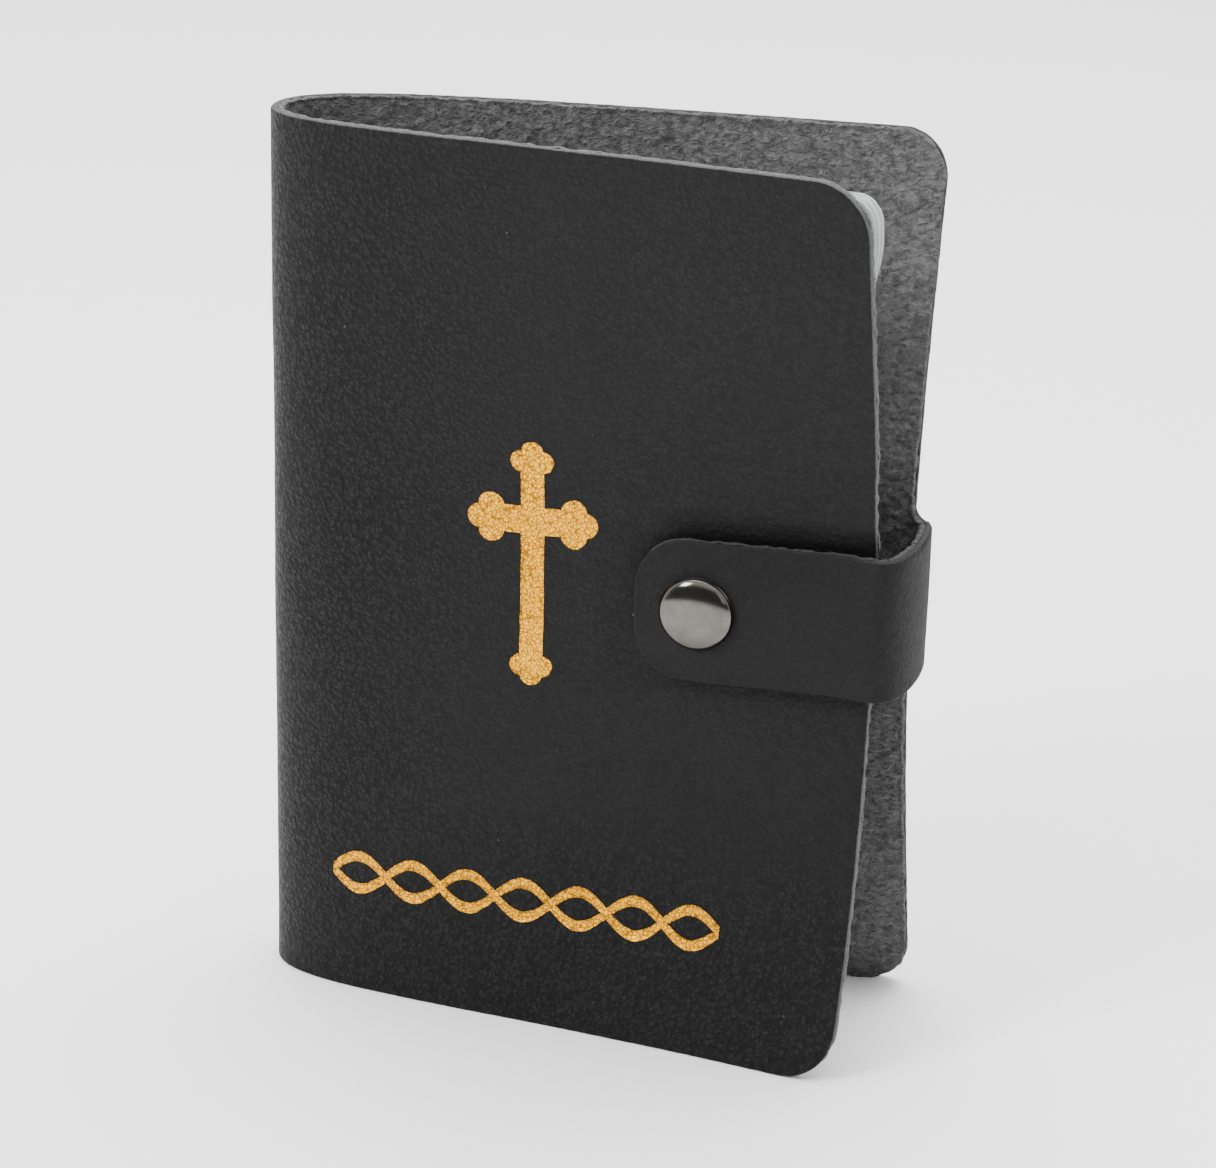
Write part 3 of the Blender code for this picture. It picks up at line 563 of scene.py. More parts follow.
def ply(name, patches, rim_of, seams, skin, material, depth=None):
    """One ply of a stretch of the sheet: its face, rounded at the cut edge, and the edge itself.

    seams are the values of s where the sheet runs on into the next piece. depth(s, z) shifts it inwards.
    """
    points, quads = weld(patches)
    s, z = points.T
    rim = rim_of(s, z)
    cut = cut_edges(s, quads, seams)
    loop = np.unique(cut)
    inward = way_in(rim_of, s, z)
    s, z = fray(s, z, rim, inward, skin)
    rings = [(s, z, face_depth(s, z, rim, skin), np.maximum(rim, 0.0))]
    walls = wall_rings(skin)
    for depth_at, inset in walls:
        rough = value_noise(s[loop] * WALL_SIZE, z[loop] * WALL_SIZE + depth_at * WALL_SHIFT, SEED_WALL)
        rings.append((s[loop] + inward[loop, 0] * inset, z[loop] + inward[loop, 1] * inset,
                      depth_at + WALL_ROUGH * rough, np.full(len(loop), -1.0)))
    faces = quads.tolist() if skin else quads[:, ::-1].tolist()
    faces += wall_faces(cut, loop, len(s), len(walls), skin)
    s, z, n, rim = (np.concatenate(values) for values in zip(*rings))
    bent = n + (depth(s, z) if depth else 0.0)
    return make_object(name, place(s, bent, z), faces, np.stack([s, n, z], 1), rim, material)


def skin_relief(s, z):
    """Slow unevenness of the sheet's outer face."""
    return SLOW_SWELL * fractal(s, z, *SLOW_NOISE) + FINE_SWELL * fractal(s, z, *FINE_NOISE)


def nap(s, z):
    """Height of the suede's worm-like fibres."""
    warp = NAP_WARP * fractal(s, z, *NAP_WARP_NOISE)
    ridge = 1 - abs(value_noise((s + warp) / NAP_LENGTH, (z - warp) / NAP_WIDTH, SEED_NAP)) * 2
    return NAP_HEIGHT * (NAP_FLOOR + NAP_RIDGE * ridge + NAP_FUZZ * fractal(s, z, *NAP_NOISE))


def under_strap(s, z):
    """The front cover gives way a little where the strap presses on it, and swells just above."""
    strap_start = front_at(STRAP_TIP_X)[0]
    along_strap = smooth(strap_start + PRESS_START[0], strap_start + PRESS_START[1], s)
    off = abs(z - STRAP_Z)
    pressed = 1 - smooth(STRAP_WIDTH / 2 + PRESS_FADE[0], STRAP_WIDTH / 2 + PRESS_FADE[1], off)
    above = z - STRAP_Z - STRAP_WIDTH / 2
    swollen = smooth(*BULGE_RISE, above) * (1 - smooth(*BULGE_FALL, above))
    creased = value_noise(s / WRINKLE_SIZE[0] + above * WRINKLE_SLANT, above / WRINKLE_SIZE[1], SEED_WRINKLE)
    wrinkles = WRINKLE * creased * swollen
    return along_strap * (PRESS * pressed - BULGE * swollen + wrinkles)


def strap_lie(s, z):
    """The strap's tip and its long edges come down to the cover, round the snap's boss."""
    reach = -s - BACK_LENGTH
    tip = 1 - smooth(0.0, SNAP_X - STRAP_TIP_X + TIP_PAST_SNAP, STRAP_LENGTH - reach)
    edges = (smooth(EDGE_LIE_FROM, STRAP_WIDTH / 2, abs(z - STRAP_Z))
             * smooth(STRAP_TURN, STRAP_TURN + EDGE_LIE_RUN, reach))
    return TIP_LIE * tip + EDGE_LIE * edges * (1 - tip)


# ---- node materials ----
class Shader:
    """A small helper that adds nodes to one material or world."""

    def __init__(self, owner, end="Principled BSDF"):
        owner.use_nodes = True
        self.owner = owner
        self.tree = owner.node_tree
        self.end = self.tree.nodes[end]

    def add(self, kind, settings=None, **inputs):
        node = self.tree.nodes.new("ShaderNode" + kind)
        for key, value in (settings or {}).items():
            setattr(node, key, value)
        for key, value in inputs.items():
            self.put(node.inputs[key.replace("_", " ")], value)
        return node

    def put(self, socket, value):
        if isinstance(value, bpy.types.NodeSocket):
            self.tree.links.new(value, socket)
        else:
            socket.default_value = value

    def set(self, name, value):
        self.put(self.end.inputs[name], value)

    def rest(self):
        return self.add("Attribute", {"attribute_name": "rest"}).outputs["Vector"]

    def rim(self):
        return self.add("Attribute", {"attribute_name": "rim"}).outputs["Fac"]

    def along(self, where, axis):
        return self.add("SeparateXYZ", None, Vector=where).outputs[axis]

    def stretch(self, where, scale):
        return self.add("Mapping", None, Vector=where, Scale=scale).outputs[0]

    def noise(self, where, scale, detail=3.0, rough=0.5, distortion=0.0):
        return self.add("TexNoise", None, Vector=where, Scale=scale, Detail=detail, Roughness=rough,
                        Distortion=distortion).outputs["Fac"]

    def cells(self, where, scale, feature="SMOOTH_F1"):
        node = self.add("TexVoronoi", {"feature": feature}, Vector=where, Scale=scale)
        if feature == "SMOOTH_F1":
            node.inputs["Smoothness"].default_value = CELL_SMOOTHNESS
        return node.outputs["Distance"]

    def warp(self, where, scale, amount):
        """The same coordinates pushed about by noise."""
        noise = self.add("TexNoise", None, Vector=where, Scale=scale, Detail=2.0).outputs["Color"]
        centred = self.math("SUBTRACT", noise, (0.5, 0.5, 0.5), "VectorMath")
        sized = self.add("VectorMath", {"operation": "SCALE"}, Vector=centred, Scale=amount)
        return self.math("ADD", where, sized.outputs[0], "VectorMath")

    def ramp(self, value, *stops):
        """A value through linear stops of (position, colour or grey)."""
        node = self.add("ValToRGB", None, Fac=value)
        elements = node.color_ramp.elements
        while len(elements) < len(stops):
            elements.new(0.5)
        for element, (position, colour) in zip(elements, stops):
            element.position = position
            grey = isinstance(colour, (int, float))
            element.color = (colour, colour, colour, 1.0) if grey else (*colour, 1.0)
        return node.outputs["Color"]

    def span(self, value, low, high, to_low=0.0, to_high=1.0):
        """A value eased from low..high to to_low..to_high."""
        node = self.add("MapRange", {"interpolation_type": "SMOOTHSTEP"}, Value=value)
        for name, number in (("From Min", low), ("From Max", high), ("To Min", to_low), ("To Max", to_high)):
            node.inputs[name].default_value = number
        return node.outputs["Result"]

    def math(self, operation, a, b, kind="Math"):
        node = self.add(kind, {"operation": operation})
        self.put(node.inputs[0], a)
        self.put(node.inputs[1], b)
        return node.outputs[0]

    def times(self, a, b):
        return self.math("MULTIPLY", a, b)

    def plus(self, a, b):
        return self.math("ADD", a, b)

    def mix(self, factor, a, b):
        node = self.add("Mix", {"data_type": "RGBA"})
        self.put(node.inputs["Factor"], factor)
        self.put(node.inputs[MIX_A], a)
        self.put(node.inputs[MIX_B], b)
        return node.outputs[MIX_RESULT]

    def bump(self, height, distance, strength=1.0):
        return self.add("Bump", None, Height=height, Distance=distance, Strength=strength).outputs["Normal"]


def material(name):
    return Shader(bpy.data.materials.new(name))


def pebble(look, where):
    """Fine irregular leather grain: the depth of rounded cells, broken up by noise."""
    cell = look.cells(look.warp(where, *GRAIN_WARP), GRAIN_CELLS)
    small = look.cells(look.warp(where, *SMALL_WARP), SMALL_CELLS)
    return look.plus(look.times(cell, GRAIN_SHARE), look.times(small, SMALL_SHARE))


def grain_strength(look, where):
    """Where the grain shows more: beside the fold, towards the foot, off the strap, and in slow patches."""
    by_spine = look.span(look.along(where, "X"), *BY_SPINE)
    by_foot = look.span(look.along(where, "Z"), *BY_FOOT)
    patches = look.noise(where, *GRAIN_PATCHES)
    past_fold = look.span(look.along(where, "X"), *PAST_FOLD)
    off_strap = look.span(look.along(where, "X"), *ROOT_SPAN, STRAP_GRAIN, 1.0)
    past_fold = look.times(past_fold, off_strap)
    total = look.times(look.math("MAXIMUM", by_spine, by_foot), past_fold)
    return look.times(total, look.span(patches, *PATCH_SPAN))


def edge_colour(look, where, inked, pale):
    """Chopped fibre of the cut edges: pale on the front cover, darker on the back, inked on the strap."""
    fibre = look.noise(where, *EDGE_FIBRE)
    shades = []
    for dark, light in (inked, pale):
        brighter = tuple(c * EDGE_BRIGHTER for c in light)
        shades.append(look.ramp(fibre, (0.25, dark), (0.55, light), (0.8, brighter)))
    off_strap = look.span(look.along(where, "X"), -BACK_LENGTH - STRAP_TURN, ROOT_SPAN[0], 0.0, BACK_PALENESS)
    on_front = look.span(look.along(where, "X"), *SPINE_PALENESS, 0.0, FRONT_PALENESS)
    return look.mix(look.plus(off_strap, on_front), *shades)


def leather_material():
    look = material("leather")
    where = look.rest()
    grain = pebble(look, where)
    strength = grain_strength(look, where)
    plain = look.ramp(look.noise(where, *TONE), *PLAIN)
    # where the grain is strong, its crests get a painted highlight and its pits painted shade
    face = look.mix(strength, plain, look.ramp(grain, *GRAIN_LIGHT_AND_SHADE))
    handled = look.span(look.along(where, "X"), *ROOT_SPAN, STRAP_HANDLED, 0.0)
    face = look.mix(handled, face, HANDLED)
    dust = look.span(look.cells(where, DUST_CELLS, "F1"), *DUST_SIZE)
    rare = look.math("GREATER_THAN", look.noise(where, *DUST_NOISE), DUST_RARE)
    face = look.mix(look.times(dust, rare), face, DUST_COLOUR)
    edge = edge_colour(look, where, INKED_EDGE, FRONT_EDGE)
    uneven = look.times(look.noise(where, *EDGE_NOISE), EDGE_NOISE_SHARE)
    cut = look.span(look.plus(look.rim(), uneven), *EDGE_SPAN)
    look.set("Base Color", look.mix(cut, face, edge))
    shine = look.mix(handled, look.ramp(grain, *LEATHER_SHINE), MATT)
    look.set("Roughness", look.mix(cut, shine, CUT_ROUGHNESS))
    height = look.times(look.math("SUBTRACT", 1.0, grain), strength)
    pores = look.times(look.noise(where, *PORES), PORE_SHARE)
    look.set("Normal", look.bump(look.plus(height, pores), LEATHER_BUMP))
    look.set("Specular IOR Level", 0.16)
    return look.owner


def suede_material():
    look = material("suede")
    where = look.rest()
    tufts = look.noise(look.stretch(look.warp(where, *TUFT_WARP), TUFT_STRETCH), *TUFTS)
    fibres = look.noise(where, *FIBRES)
    patches = look.noise(where, *SUEDE_PATCHES)
    # the tufts' colour follows their bump: mottled tone, and painted shade in the gaps between tufts
    speckled = look.mix(FIBRE_MIX, look.ramp(tufts, *TUFT_TONE_AND_SHADE), look.ramp(fibres, *FUR))
    shade = look.mix(look.span(patches, *SUEDE_PATCH_SPAN), speckled, SUEDE_SHADE)
    edge = edge_colour(look, where, SUEDE_INKED, SUEDE_EDGE)
    uneven = look.times(fibres, SUEDE_EDGE_SHARE)
    cut = look.span(look.plus(look.rim(), uneven), *SUEDE_EDGE_SPAN)
    look.set("Base Color", look.mix(cut, shade, edge))
    look.set("Roughness", look.ramp(fibres, *SUEDE_ROUGHNESS))
    height = look.plus(tufts, look.times(fibres, FIBRE_BUMP))
    look.set("Normal", look.bump(height, SUEDE_BUMP))
    look.set("Sheen Weight", 0.12)
    look.set("Sheen Roughness", 0.6)
    look.set("Specular IOR Level", 0.15)
    return look.owner


def foil_material():
    look = material("foil")
    where = look.rest()
    grain = pebble(look, where)
    # painted glints: spots where the gold is lighter, also more metallic and smoother
    glints = look.noise(where, *FOIL_GLINTS)
    # painted shade: dark gold lines along a cell network, standing for the valleys between the foil's pebbles
    to_valley = look.cells(look.warp(where, *VALLEY_WARP), VALLEY_CELLS, "DISTANCE_TO_EDGE")
    valley_shade = look.times(look.span(to_valley, *VALLEY_SPAN), VALLEY_SHADE_STRENGTH)
    look.set("Base Color", look.mix(valley_shade, look.ramp(glints, *GOLD), VALLEY_SHADE_COLOUR))
    look.set("Metallic", look.span(glints, *FOIL_METAL))
    look.set("Roughness", look.ramp(glints, *FOIL_ROUGHNESS))
    look.set("Specular IOR Level", 0.1)
    look.set("Normal", look.bump(look.math("SUBTRACT", 1.0, grain), FOIL_BUMP))
    return look.owner


def snap_material():
    look = material("snap_metal")
    where = look.rest()
    smear = look.noise(where, *SMEAR)
    scratches = look.noise(look.stretch(where, SCRATCH_STRETCH), *SCRATCHES)
    look.set("Base Color", look.ramp(smear, *GUNMETAL))
    look.set("Metallic", 1.0)
    look.set("Roughness", look.ramp(scratches, *SNAP_ROUGHNESS))
    look.set("Normal", look.bump(smear, SMEAR_BUMP, SMEAR_STRENGTH))
    return look.owner


def spring_material():
    look = material("spring_steel")
    drawn = look.noise(look.stretch(look.rest(), DRAWN_STRETCH), *DRAWN)
    look.set("Base Color", look.ramp(drawn, *STEEL))
    look.set("Metallic", 1.0)
    look.set("Roughness", look.ramp(drawn, *STEEL_ROUGHNESS))
    return look.owner


def vinyl_material():
    """Clear film: see-through on its faces, milky where it is welded or seen on edge."""
    look = material("vinyl")
    where = look.rest()
    haze = look.noise(where, *HAZE)
    scuffs = look.noise(look.stretch(where, SCUFF_STRETCH), *SCUFFS)
    seam = look.span(look.rim(), *FILM_SEAM)
    look.set("Base Color", look.ramp(haze, *FILM))
    look.set("Alpha", look.mix(seam, look.ramp(scuffs, *FILM_CLEAR), FILM_WELDED))
    look.set("Roughness", look.ramp(scuffs, *FILM_ROUGHNESS))
    look.set("Normal", look.bump(haze, HAZE_BUMP, HAZE_STRENGTH))
    look.set("Specular IOR Level", 0.6)
    return look.owner


MATERIALS = {"leather": leather_material(), "suede": suede_material(), "foil": foil_material(),
             "snap_metal": snap_material(), "spring_steel": spring_material(), "vinyl": vinyl_material()}


# ---- leather pieces ----
BACK_SPLIT = -30.0  # s where the back's roll piece meets its panel
STRAP_SPLIT = -BACK_LENGTH - (STRAP_ROOT + STRAP_TURN) / 2
SPINE_BENDS = (1.5, 13.0)  # where the covers bend on the spine, in distances from its tip; both_plies only places their points and bends nothing by them
ROOT_BENDS = (-BACK_LENGTH - 2.5, -BACK_LENGTH - STRAP_ROOT * 1.6)
TURN_BENDS = (STRAP_SPLIT - 0.5, -BACK_LENGTH - STRAP_TURN - 3.5)


def finish_piece(piece, nodes, body=None):
    if nodes:
        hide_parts(*nodes)
    if body:
        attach(piece, body)


def row_point(s):
    return tuple(place(s, 0.0, STRAP_Z)[0])


def both_plies(label, patches, rim_of, seams, between, nodes, depth=None):
    """Skin and lining of one stretch, baked in place; the points at the given values of s are placed and not
    used.
    """
    for skin, suffix, slot in ((True, "skin", "leather"), (False, "lining", "suede")):
        piece = ply(f"{label}_{suffix}", patches, rim_of, seams, skin, MATERIALS[slot], depth)
        finish_piece(piece, [f"{node}_{suffix}" for node in nodes])
        row_point(between[0])
        row_point(between[1])
        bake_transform(piece)


def front_leather():
    patch = panel_patch(0.0, FRONT_LENGTH, CORNER, 0.0, HEIGHT, STEP)
    both_plies("look_front_cover", [patch], front_rim, (0.0,), SPINE_BENDS,
               ("front_cover", "spine"), under_strap)


def back_roll_leather():
    patch = band_patch(BACK_SPLIT, 0.0, 0.0, HEIGHT, STEP)
    both_plies("look_back_roll", [patch], back_rim, (0.0, BACK_SPLIT),
               [-bend for bend in SPINE_BENDS], ())


def fillet_reach(z):
    """How much further the back cover reaches at the strap's root and its fillets."""
    off = abs(z - STRAP_Z) - STRAP_WIDTH / 2
    inside = np.clip(STRAP_FILLET - off, 0, STRAP_FILLET)
    curve = STRAP_FILLET - np.sqrt(STRAP_FILLET**2 - inside**2)
    return np.where(off <= 0, STRAP_FILLET, np.where(off >= STRAP_FILLET, 0.0, curve))


def back_leather():
    s, z = panel_patch(-BACK_SPLIT, BACK_LENGTH, BACK_CORNER, 0.0, HEIGHT, STEP, fillet_reach)
    panel = (-s[:, ::-1], z[:, ::-1])
    tab_z = np.unique(z[:, 0][abs(z[:, 0] - STRAP_Z) <= STRAP_WIDTH / 2 + 1e-6])
    tab_s = np.linspace(STRAP_SPLIT, -BACK_LENGTH - STRAP_FILLET, TAB_COLUMNS)
    tab = np.meshgrid(tab_s, tab_z)
    both_plies("look_back_cover", [panel, tab], back_rim, (BACK_SPLIT, STRAP_SPLIT),
               ROOT_BENDS, ("back_cover", "strap_bend"))


def strap_leather():
    low, high = STRAP_Z - STRAP_WIDTH / 2, STRAP_Z + STRAP_WIDTH / 2
    s, z = panel_patch(-STRAP_SPLIT, BACK_LENGTH + STRAP_LENGTH, STRAP_TIP_RADIUS, low, high, STEP)
    both_plies("look_strap", [(-s[:, ::-1], z[:, ::-1])], strap_rim, (STRAP_SPLIT,),
               TURN_BENDS, ("strap",), strap_lie)


# ---- sleeves ----
def sleeve_tuck(z):
    """How far a sleeve's free edge draws back below its top corner, squeezed as it is by the strap."""
    return -SLEEVE_TUCK * (1 - smooth(TUCK_FROM, TUCK_TO, z))


def sleeve_middle(number, s, z):
    """Depth of a sleeve's middle: it waves, and fans out at its top corner."""
    wave = FILM_WAVE * fractal(s, z, FILM_WAVE_SIZE, SEED_FILM + number, 2)
    middle = SLEEVE_DEPTH + number * SLEEVE_PITCH + SLEEVE_THICK / 2 + wave
    return middle + SLEEVE_FAN * number * smooth(HEIGHT - FAN_BELOW_TOP, HEIGHT, z) * smooth(*FAN_ALONG, s)


def two_films(name, s, z, outer, inner, quads, cut, rim, depth=None):
    """Two films over the same grid, joined along the edges in cut."""
    count = len(s)
    faces = quads.tolist() + (quads[:, ::-1] + count).tolist()
    faces += [[b, a, a + count, b + count] for a, b in cut.tolist()]
    all_s, all_z, all_n = np.tile(s, 2), np.tile(z, 2), np.concatenate([outer, inner])
    bent = all_n + depth(all_s, all_z) if depth else all_n
    return make_object(name, place(all_s, bent, all_z), faces, np.stack([all_s, all_n, all_z], 1),
                       np.tile(rim, 2), MATERIALS["vinyl"])


def sleeve_piece(number):
    """A clear pocket: two films welded along their sides and foot, open at the top."""
    widest = FRONT_LENGTH + SLEEVE_OUT + SLEEVE_STAGGER[number]
    low, high = SLEEVE_Z[0], SLEEVE_Z[1] - SLEEVE_DROP[number]
    patch = panel_patch(SLEEVE_START, widest, SLEEVE_CORNER, low, high, SLEEVE_STEP, sleeve_tuck)
    points, quads = weld([patch])
    s, z = points.T
    reach = widest + sleeve_tuck(z)
    rim = rounded(reach - s, np.minimum(z - low, high - z), SLEEVE_CORNER)
    seam = 1 - smooth(*SLEEVE_WELD, rounded(reach - s, z - low, SLEEVE_CORNER))
    middle = sleeve_middle(number, s, z)
    swell = FILM_SWELL * fractal(s, z, FILM_SWELL_SIZE, SEED_FILM_SWELL + number, 2)
    half = SLEEVE_THICK / 2 * (1 - WELD_THINNING * seam) + swell
    cut = boundary(quads)
    at_top = z > high - SEAM_WIDTH
    cut = cut[~(at_top[cut[:, 0]] & at_top[cut[:, 1]])]
    name = f"sleeve_{number + 1}"
    piece = two_films("look_" + name, s, z, middle - half, middle + half, quads, cut, rim, under_strap)
    finish_piece(piece, [name], name)


def binding_piece():
    points, quads = weld([band_patch(*BINDING, *SLEEVE_Z, BINDING_STEP)])
    s, z = points.T
    rim = np.minimum(np.minimum(s - BINDING[0], BINDING[1] - s), np.minimum(z - SLEEVE_Z[0], SLEEVE_Z[1] - z))
    ribs = RIB_HEIGHT * np.cos(z * 2 * math.pi / RIB_PITCH)
    outer = SLEEVE_DEPTH + 0 * s
    inner = SLEEVE_DEPTH + (SLEEVES - 1) * SLEEVE_PITCH + SLEEVE_THICK + ribs
    piece = two_films("look_binding", s, z, outer, inner, quads, boundary(quads), rim)
    finish_piece(piece, ["binding_strip"], "front_cover")


# ---- foil ----
def cut_finely(bm):
    """Cuts a flat shape along both of its directions, so that it can bend."""
    bm.normal_update()
    bmesh.ops.triangulate(bm, faces=bm.faces)
    for axis, direction in enumerate((Vector((1, 0, 0)), Vector((0, 1, 0)))):
        low = min(v.co[axis] for v in bm.verts)
        high = max(v.co[axis] for v in bm.verts)
        for i in range(1, math.ceil((high - low) / FOIL_CUT)):
            everything = list(bm.verts) + list(bm.edges) + list(bm.faces)
            bmesh.ops.bisect_plane(bm, geom=everything, plane_co=direction * (low + i * FOIL_CUT),
                                   plane_no=direction)
    bm.verts.index_update()


def foil_piece(name, bm, node):
    """Thickens a flat foil shape and lays it on the front cover."""
    cut_finely(bm)
    flat = np.array([v.co[:2] for v in bm.verts])
    on_rim = np.array([v.is_boundary for v in bm.verts])
    tris = [[v.index for v in f.verts] for f in bm.faces]
    edges = [[e.verts[0].index, e.verts[1].index] for e in bm.edges if e.is_boundary]
    bm.free()
    count = len(flat)
    s, z = flat[:, 0], flat[:, 1]
    jitter = FOIL_JITTER * fractal(s, z, *FOIL_NOISE) * on_rim
    s, z = s + jitter, z - jitter
    base = skin_relief(s, z) + under_strap(s, z)
    faces = [t[::-1] if turned_in(flat, t) else t for t in tris]
    faces += [[a, b, b + count, a + count] for a, b in edges]
    all_s, all_z = np.tile(s, 2), np.tile(z, 2)
    all_n = np.concatenate([base - FOIL_LIFT, base + FOIL_SINK])
    piece = make_object(name, place(all_s, all_n, all_z), faces, np.stack([all_s, 0 * all_s, all_z], 1),
                        np.where(np.tile(on_rim, 2), 0.0, 1.0), MATERIALS["foil"])
    finish_piece(piece, [node], "front_cover")


def turned_in(flat, corners):
    a, b, c = (flat[k] for k in corners[:3])
    return (b[0] - a[0]) * (c[1] - a[1]) - (b[1] - a[1]) * (c[0] - a[0]) < 0


def arc(centre, radius, start, end):
    """Points of a lobe, from angle start to angle end about its centre."""
    angles = [start + (end - start) * i / BUD_ARC for i in range(BUD_ARC + 1)]
    return [centre + Vector((math.cos(a), math.sin(a))) * radius for a in angles]


def budded_arm(length, half_width, bud):
    """One arm of the cross along +X: its three lobes, each of radius bud, taken counter-clockwise."""
    tip = Vector((length - bud, 0.0))
    side = Vector((length - LOBE_BACK * bud, LOBE_OUT * bud))
    across = tip - side
    valley = (tip + side) / 2 + Vector((-across.y, across.x)).normalized() * math.sqrt(
        bud**2 - across.length**2 / 4)
    neck_angle = math.pi + math.asin((side.y - half_width) / bud)
    side_valley = math.atan2(valley.y - side.y, valley.x - side.x)
    tip_valley = math.atan2(valley.y - tip.y, valley.x - tip.x)
    upper = arc(side, bud, side_valley, neck_angle)
    lower = [Vector((p.x, -p.y)) for p in reversed(upper)]
    return lower[:-1] + arc(tip, bud, -tip_valley, tip_valley) + upper[1:]


def cross_foil():
    halves = (CROSS_SHAFT / 2, CROSS_ARM / 2)
    bm = bmesh.new()
    outline = []
    for turns, length in enumerate(CROSS_ARMS):
        turn = Matrix.Rotation(math.pi / 2 * (turns + 1), 2)
        outline += [turn @ p for p in budded_arm(length, halves[turns % 2], BUD_RADII[turns % 2])]
        angle = math.pi * (turns + 1.5) / 2
        outline.append(Vector((math.cos(angle) * math.sqrt(2) * halves[0],
                               math.sin(angle) * math.sqrt(2) * halves[1])))
    bm.faces.new([bm.verts.new((p.x + CROSS_CENTRE[0], p.y + CROSS_CENTRE[1], 0.0)) for p in outline])
    foil_piece("look_foil_cross", bm, "foil_cross")


def band_foil():
    """A plain border of two crossing waves: a grid whose middle row is left out, drawn to their shape."""
    half_stroke = BAND_STROKE / 2
    swing = BAND_HEIGHT / 2 - half_stroke
    bm = bmesh.new()
    bmesh.ops.create_grid(bm, x_segments=BAND_LOOPS * BAND_STEPS, y_segments=3, size=1.0)
    middle = [f for f in bm.faces if abs(f.calc_center_median().y) < 0.1]
    bmesh.ops.delete(bm, geom=middle, context="FACES_ONLY")
    for vert in bm.verts:
        share = (vert.co.x + 1) / 2
        height = swing * abs(math.sin(math.pi * BAND_LOOPS * share))
        reach = height + half_stroke if abs(vert.co.y) > 0.5 else max(0.0, height - half_stroke)
        vert.co = Vector((BAND_CENTRE[0] + BAND_LENGTH * (share - 0.5),
                          BAND_CENTRE[1] + math.copysign(reach, vert.co.y), 0.0))
    bmesh.ops.remove_doubles(bm, verts=bm.verts, dist=0.001)
    foil_piece("look_foil_band", bm, "foil_band")


# ---- the snap ----
def snap_matrix():
    """The snap's own frame: its foot on the front cover's outer face, its axis square to the strap."""
    point = front_at(SNAP_X)
    way = STRAP_LINE[-1] - STRAP_LINE[-2]
    out = Vector((-way[1], way[0], 0.0)).normalized()
    spot = Vector(((point[0] - ORIGIN[0]) * MM, (point[1] - ORIGIN[1]) * MM, SNAP_Z * MM))
    return Matrix.Translation(spot) @ out.to_track_quat("Z", "Y").to_matrix().to_4x4()


def turned_faces(rings, closed):
    faces = []
    for i in range(rings if closed else rings - 1):
        j = (i + 1) % rings
        for k in range(TURNS):
            m = (k + 1) % TURNS
            faces.append([i * TURNS + k, j * TURNS + k, j * TURNS + m, i * TURNS + m])
    return faces


def turned_piece(name, profile, slot, body, node):
    """A piece turned about the snap's axis from (radius, height) points, its outer side top to bottom."""
    profile = np.array(profile, float)
    angles = np.arange(TURNS) * 2 * math.pi / TURNS
    x, y = np.outer(profile[:, 0], np.cos(angles)), np.outer(profile[:, 0], np.sin(angles))
    local = np.stack([x.ravel(), y.ravel(), np.repeat(profile[:, 1], TURNS)], 1)
    faces = turned_faces(len(profile), profile[0, 0] > 1e-6)
    matrix = np.array(snap_matrix())
    points = local * MM @ matrix[:3, :3].T + matrix[:3, 3]
    piece = make_object(name, points, faces, local, np.ones(len(local)), MATERIALS[slot])
    bm = bmesh.new()
    bm.from_mesh(piece.data)
    bmesh.ops.remove_doubles(bm, verts=bm.verts, dist=1e-7)
    bm.to_mesh(piece.data)
    bm.free()
    piece.data.shade_smooth()
    piece.data.set_sharp_from_angle(angle=math.radians(SHARP_ANGLE))
    finish_piece(piece, [node], body)


def quarter(centre_r, centre_h, radius, start, end, steps=CORNER_STEPS):
    """Points of a rounded profile corner, angles in degrees from the outward radius."""
    angles = np.radians(np.linspace(start, end, steps))
    return [(centre_r + radius * math.cos(a), centre_h + radius * math.sin(a)) for a in angles]


def cap_profile():
    base = STRAP_STAND_OFF + LEATHER + 0.05
    dome = [(CAP_RADIUS * 0.985 * math.sin(a), base + 0.35 + 1.75 * math.cos(a) ** 0.9)
            for a in np.radians(np.linspace(0, 84, 26))]
    rim = quarter(CAP_RADIUS - 0.22, base + 0.3, 0.26, 40, -90)
    under = [(CAP_RADIUS - 0.5, base), (1.2, base), (1.2, 2.1), (0.0, 2.1)]
    return dome + rim + under


# (radius, height) above the front cover's outer face
SOCKET_PROFILE = [(2.4, 2.1), *quarter(4.45, 1.95, 0.15, 90, -90), (3.6, 1.2), (3.4, 0.95), (2.45, 0.9),
                  (2.4, 1.0)]
SPRING_PROFILE = quarter(2.15, 1.45, 0.14, 0, -345, 12)
STUD_PROFILE = [(0.0, 1.7), *quarter(1.35, 1.4, 0.32, 90, -50), (1.3, 0.75), (1.45, 0.62),
                *quarter(3.85, 0.45, 0.15, 90, -90), (0.0, 0.3)]
POST_PROFILE = [(0.0, 0.0), (0.8, 0.0), (0.8, -1.45), (2.5, -1.45), *quarter(2.5, -1.6, 0.12, 60, -80),
                (0.0, -1.85)]


def snap_pieces():
    for node, profile, slot, body in (("snap_cap", cap_profile(), "snap_metal", "strap_front"),
                                      ("snap_socket", SOCKET_PROFILE, "snap_metal", "strap_front"),
                                      ("snap_spring", SPRING_PROFILE, "spring_steel", "strap_front"),
                                      ("snap_stud", STUD_PROFILE, "snap_metal", "front_cover"),
                                      ("snap_post", POST_PROFILE, "snap_metal", "front_cover")):
        turned_piece("look_" + node, profile, slot, body, node)


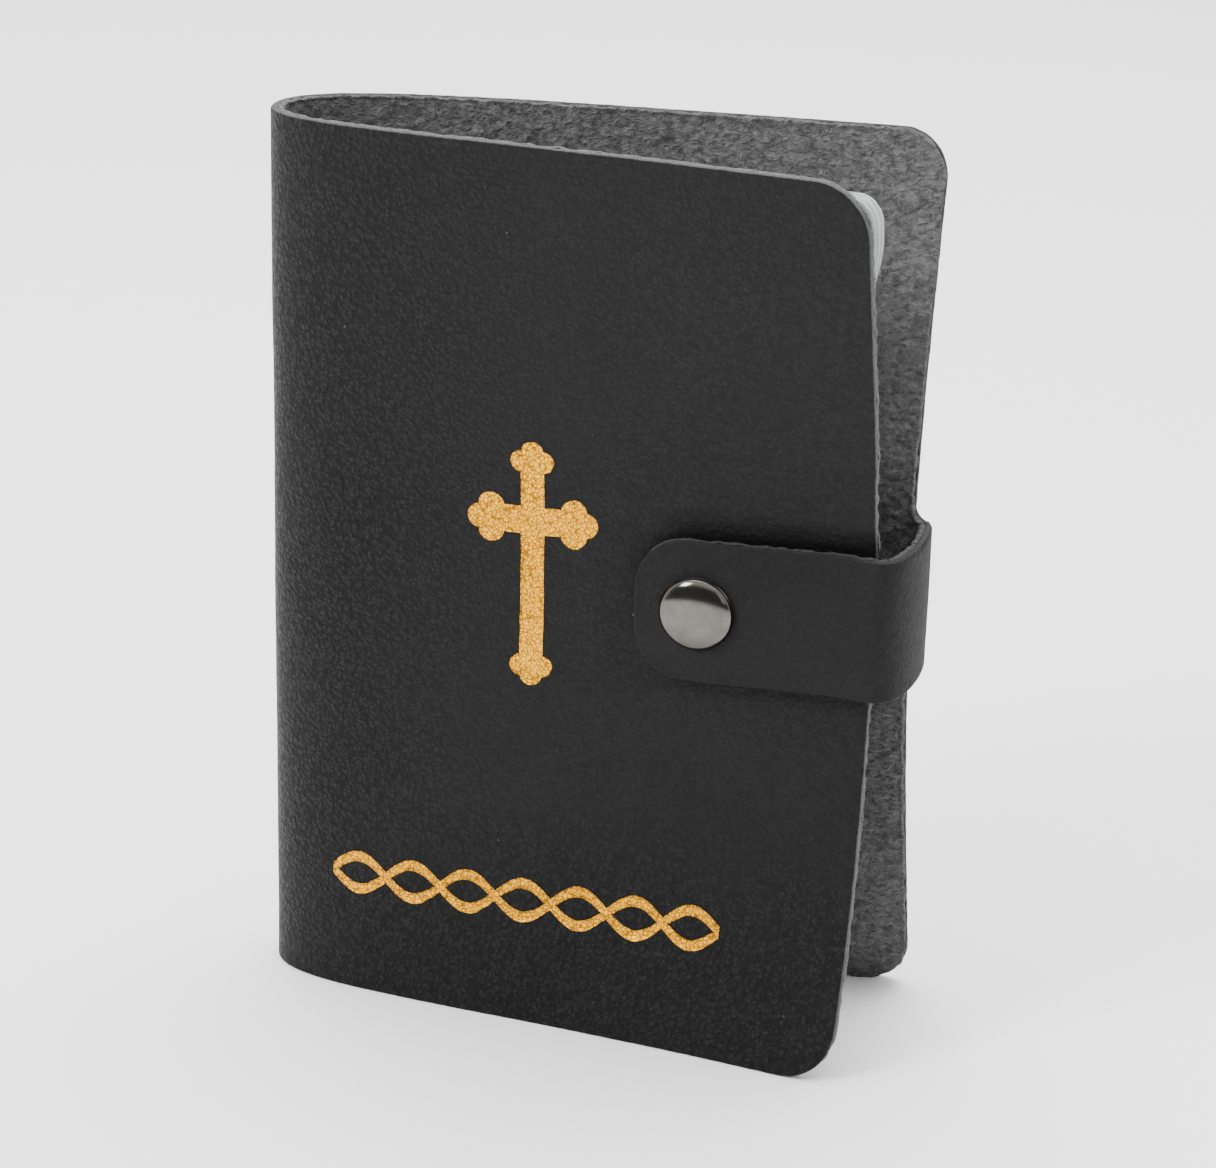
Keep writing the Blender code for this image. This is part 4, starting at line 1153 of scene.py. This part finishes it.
# ---- studio ----
def room():
    """White surroundings with a dim side behind the camera, which gives polished metal its dark shapes."""
    look = Shader(bpy.data.worlds.new("studio"), "Background")
    where = look.add("TexCoord").outputs["Generated"]
    spans = [look.span(look.along(where, axis), low, high) for axis, low, high in DIM_SPANS]
    bright = look.math("MAXIMUM", *spans)
    look.set("Color", look.ramp(bright, (0.0, DIM_SIDE), (1.0, 1.0)))
    look.set("Strength", WORLD_LIGHT)
    return look.owner


def camera():
    data = bpy.data.cameras.new("camera")
    data.lens = LENS
    data.sensor_width = SENSOR
    data.clip_start = NEAREST
    eye = bpy.data.objects.new("camera", data)
    eye.matrix_world = (Matrix.Translation(CAMERA) @ Matrix.Rotation(math.radians(YAW), 4, "Z")
                        @ Matrix.Rotation(math.radians(90 - PITCH), 4, "X")
                        @ Matrix.Rotation(math.radians(ROLL), 4, "Z"))
    bpy.context.scene.collection.objects.link(eye)
    bpy.context.scene.camera = eye


def floor_plane():
    bpy.ops.mesh.primitive_plane_add(size=FLOOR, location=(0, 0, 0))
    floor = bpy.context.object
    floor.name = "floor"
    paint = material("floor_paint")
    where = paint.add("TexCoord").outputs["Object"]
    paint.set("Base Color", paint.ramp(paint.noise(where, *FLOOR_TONE), *FLOOR_COLOURS))
    paint.set("Roughness", paint.ramp(paint.noise(where, *FLOOR_GRAIN), *FLOOR_ROUGHNESS))
    floor.data.materials.append(paint.owner)


def lights():
    for name, spot, target, size, power in LIGHTS:
        lamp = bpy.data.lights.new(name, "AREA")
        lamp.shape = "RECTANGLE"
        lamp.size, lamp.size_y = size
        lamp.energy = power
        light = bpy.data.objects.new(name, lamp)
        light.location = spot
        light.rotation_euler = (Vector(target) - Vector(spot)).to_track_quat("-Z", "Y").to_euler()
        bpy.context.scene.collection.objects.link(light)


front_leather()
back_roll_leather()
back_leather()
strap_leather()
for index in range(SLEEVES):
    sleeve_piece(index)
binding_piece()
cross_foil()
band_foil()
snap_pieces()
camera()
floor_plane()
bpy.context.scene.world = room()
lights()
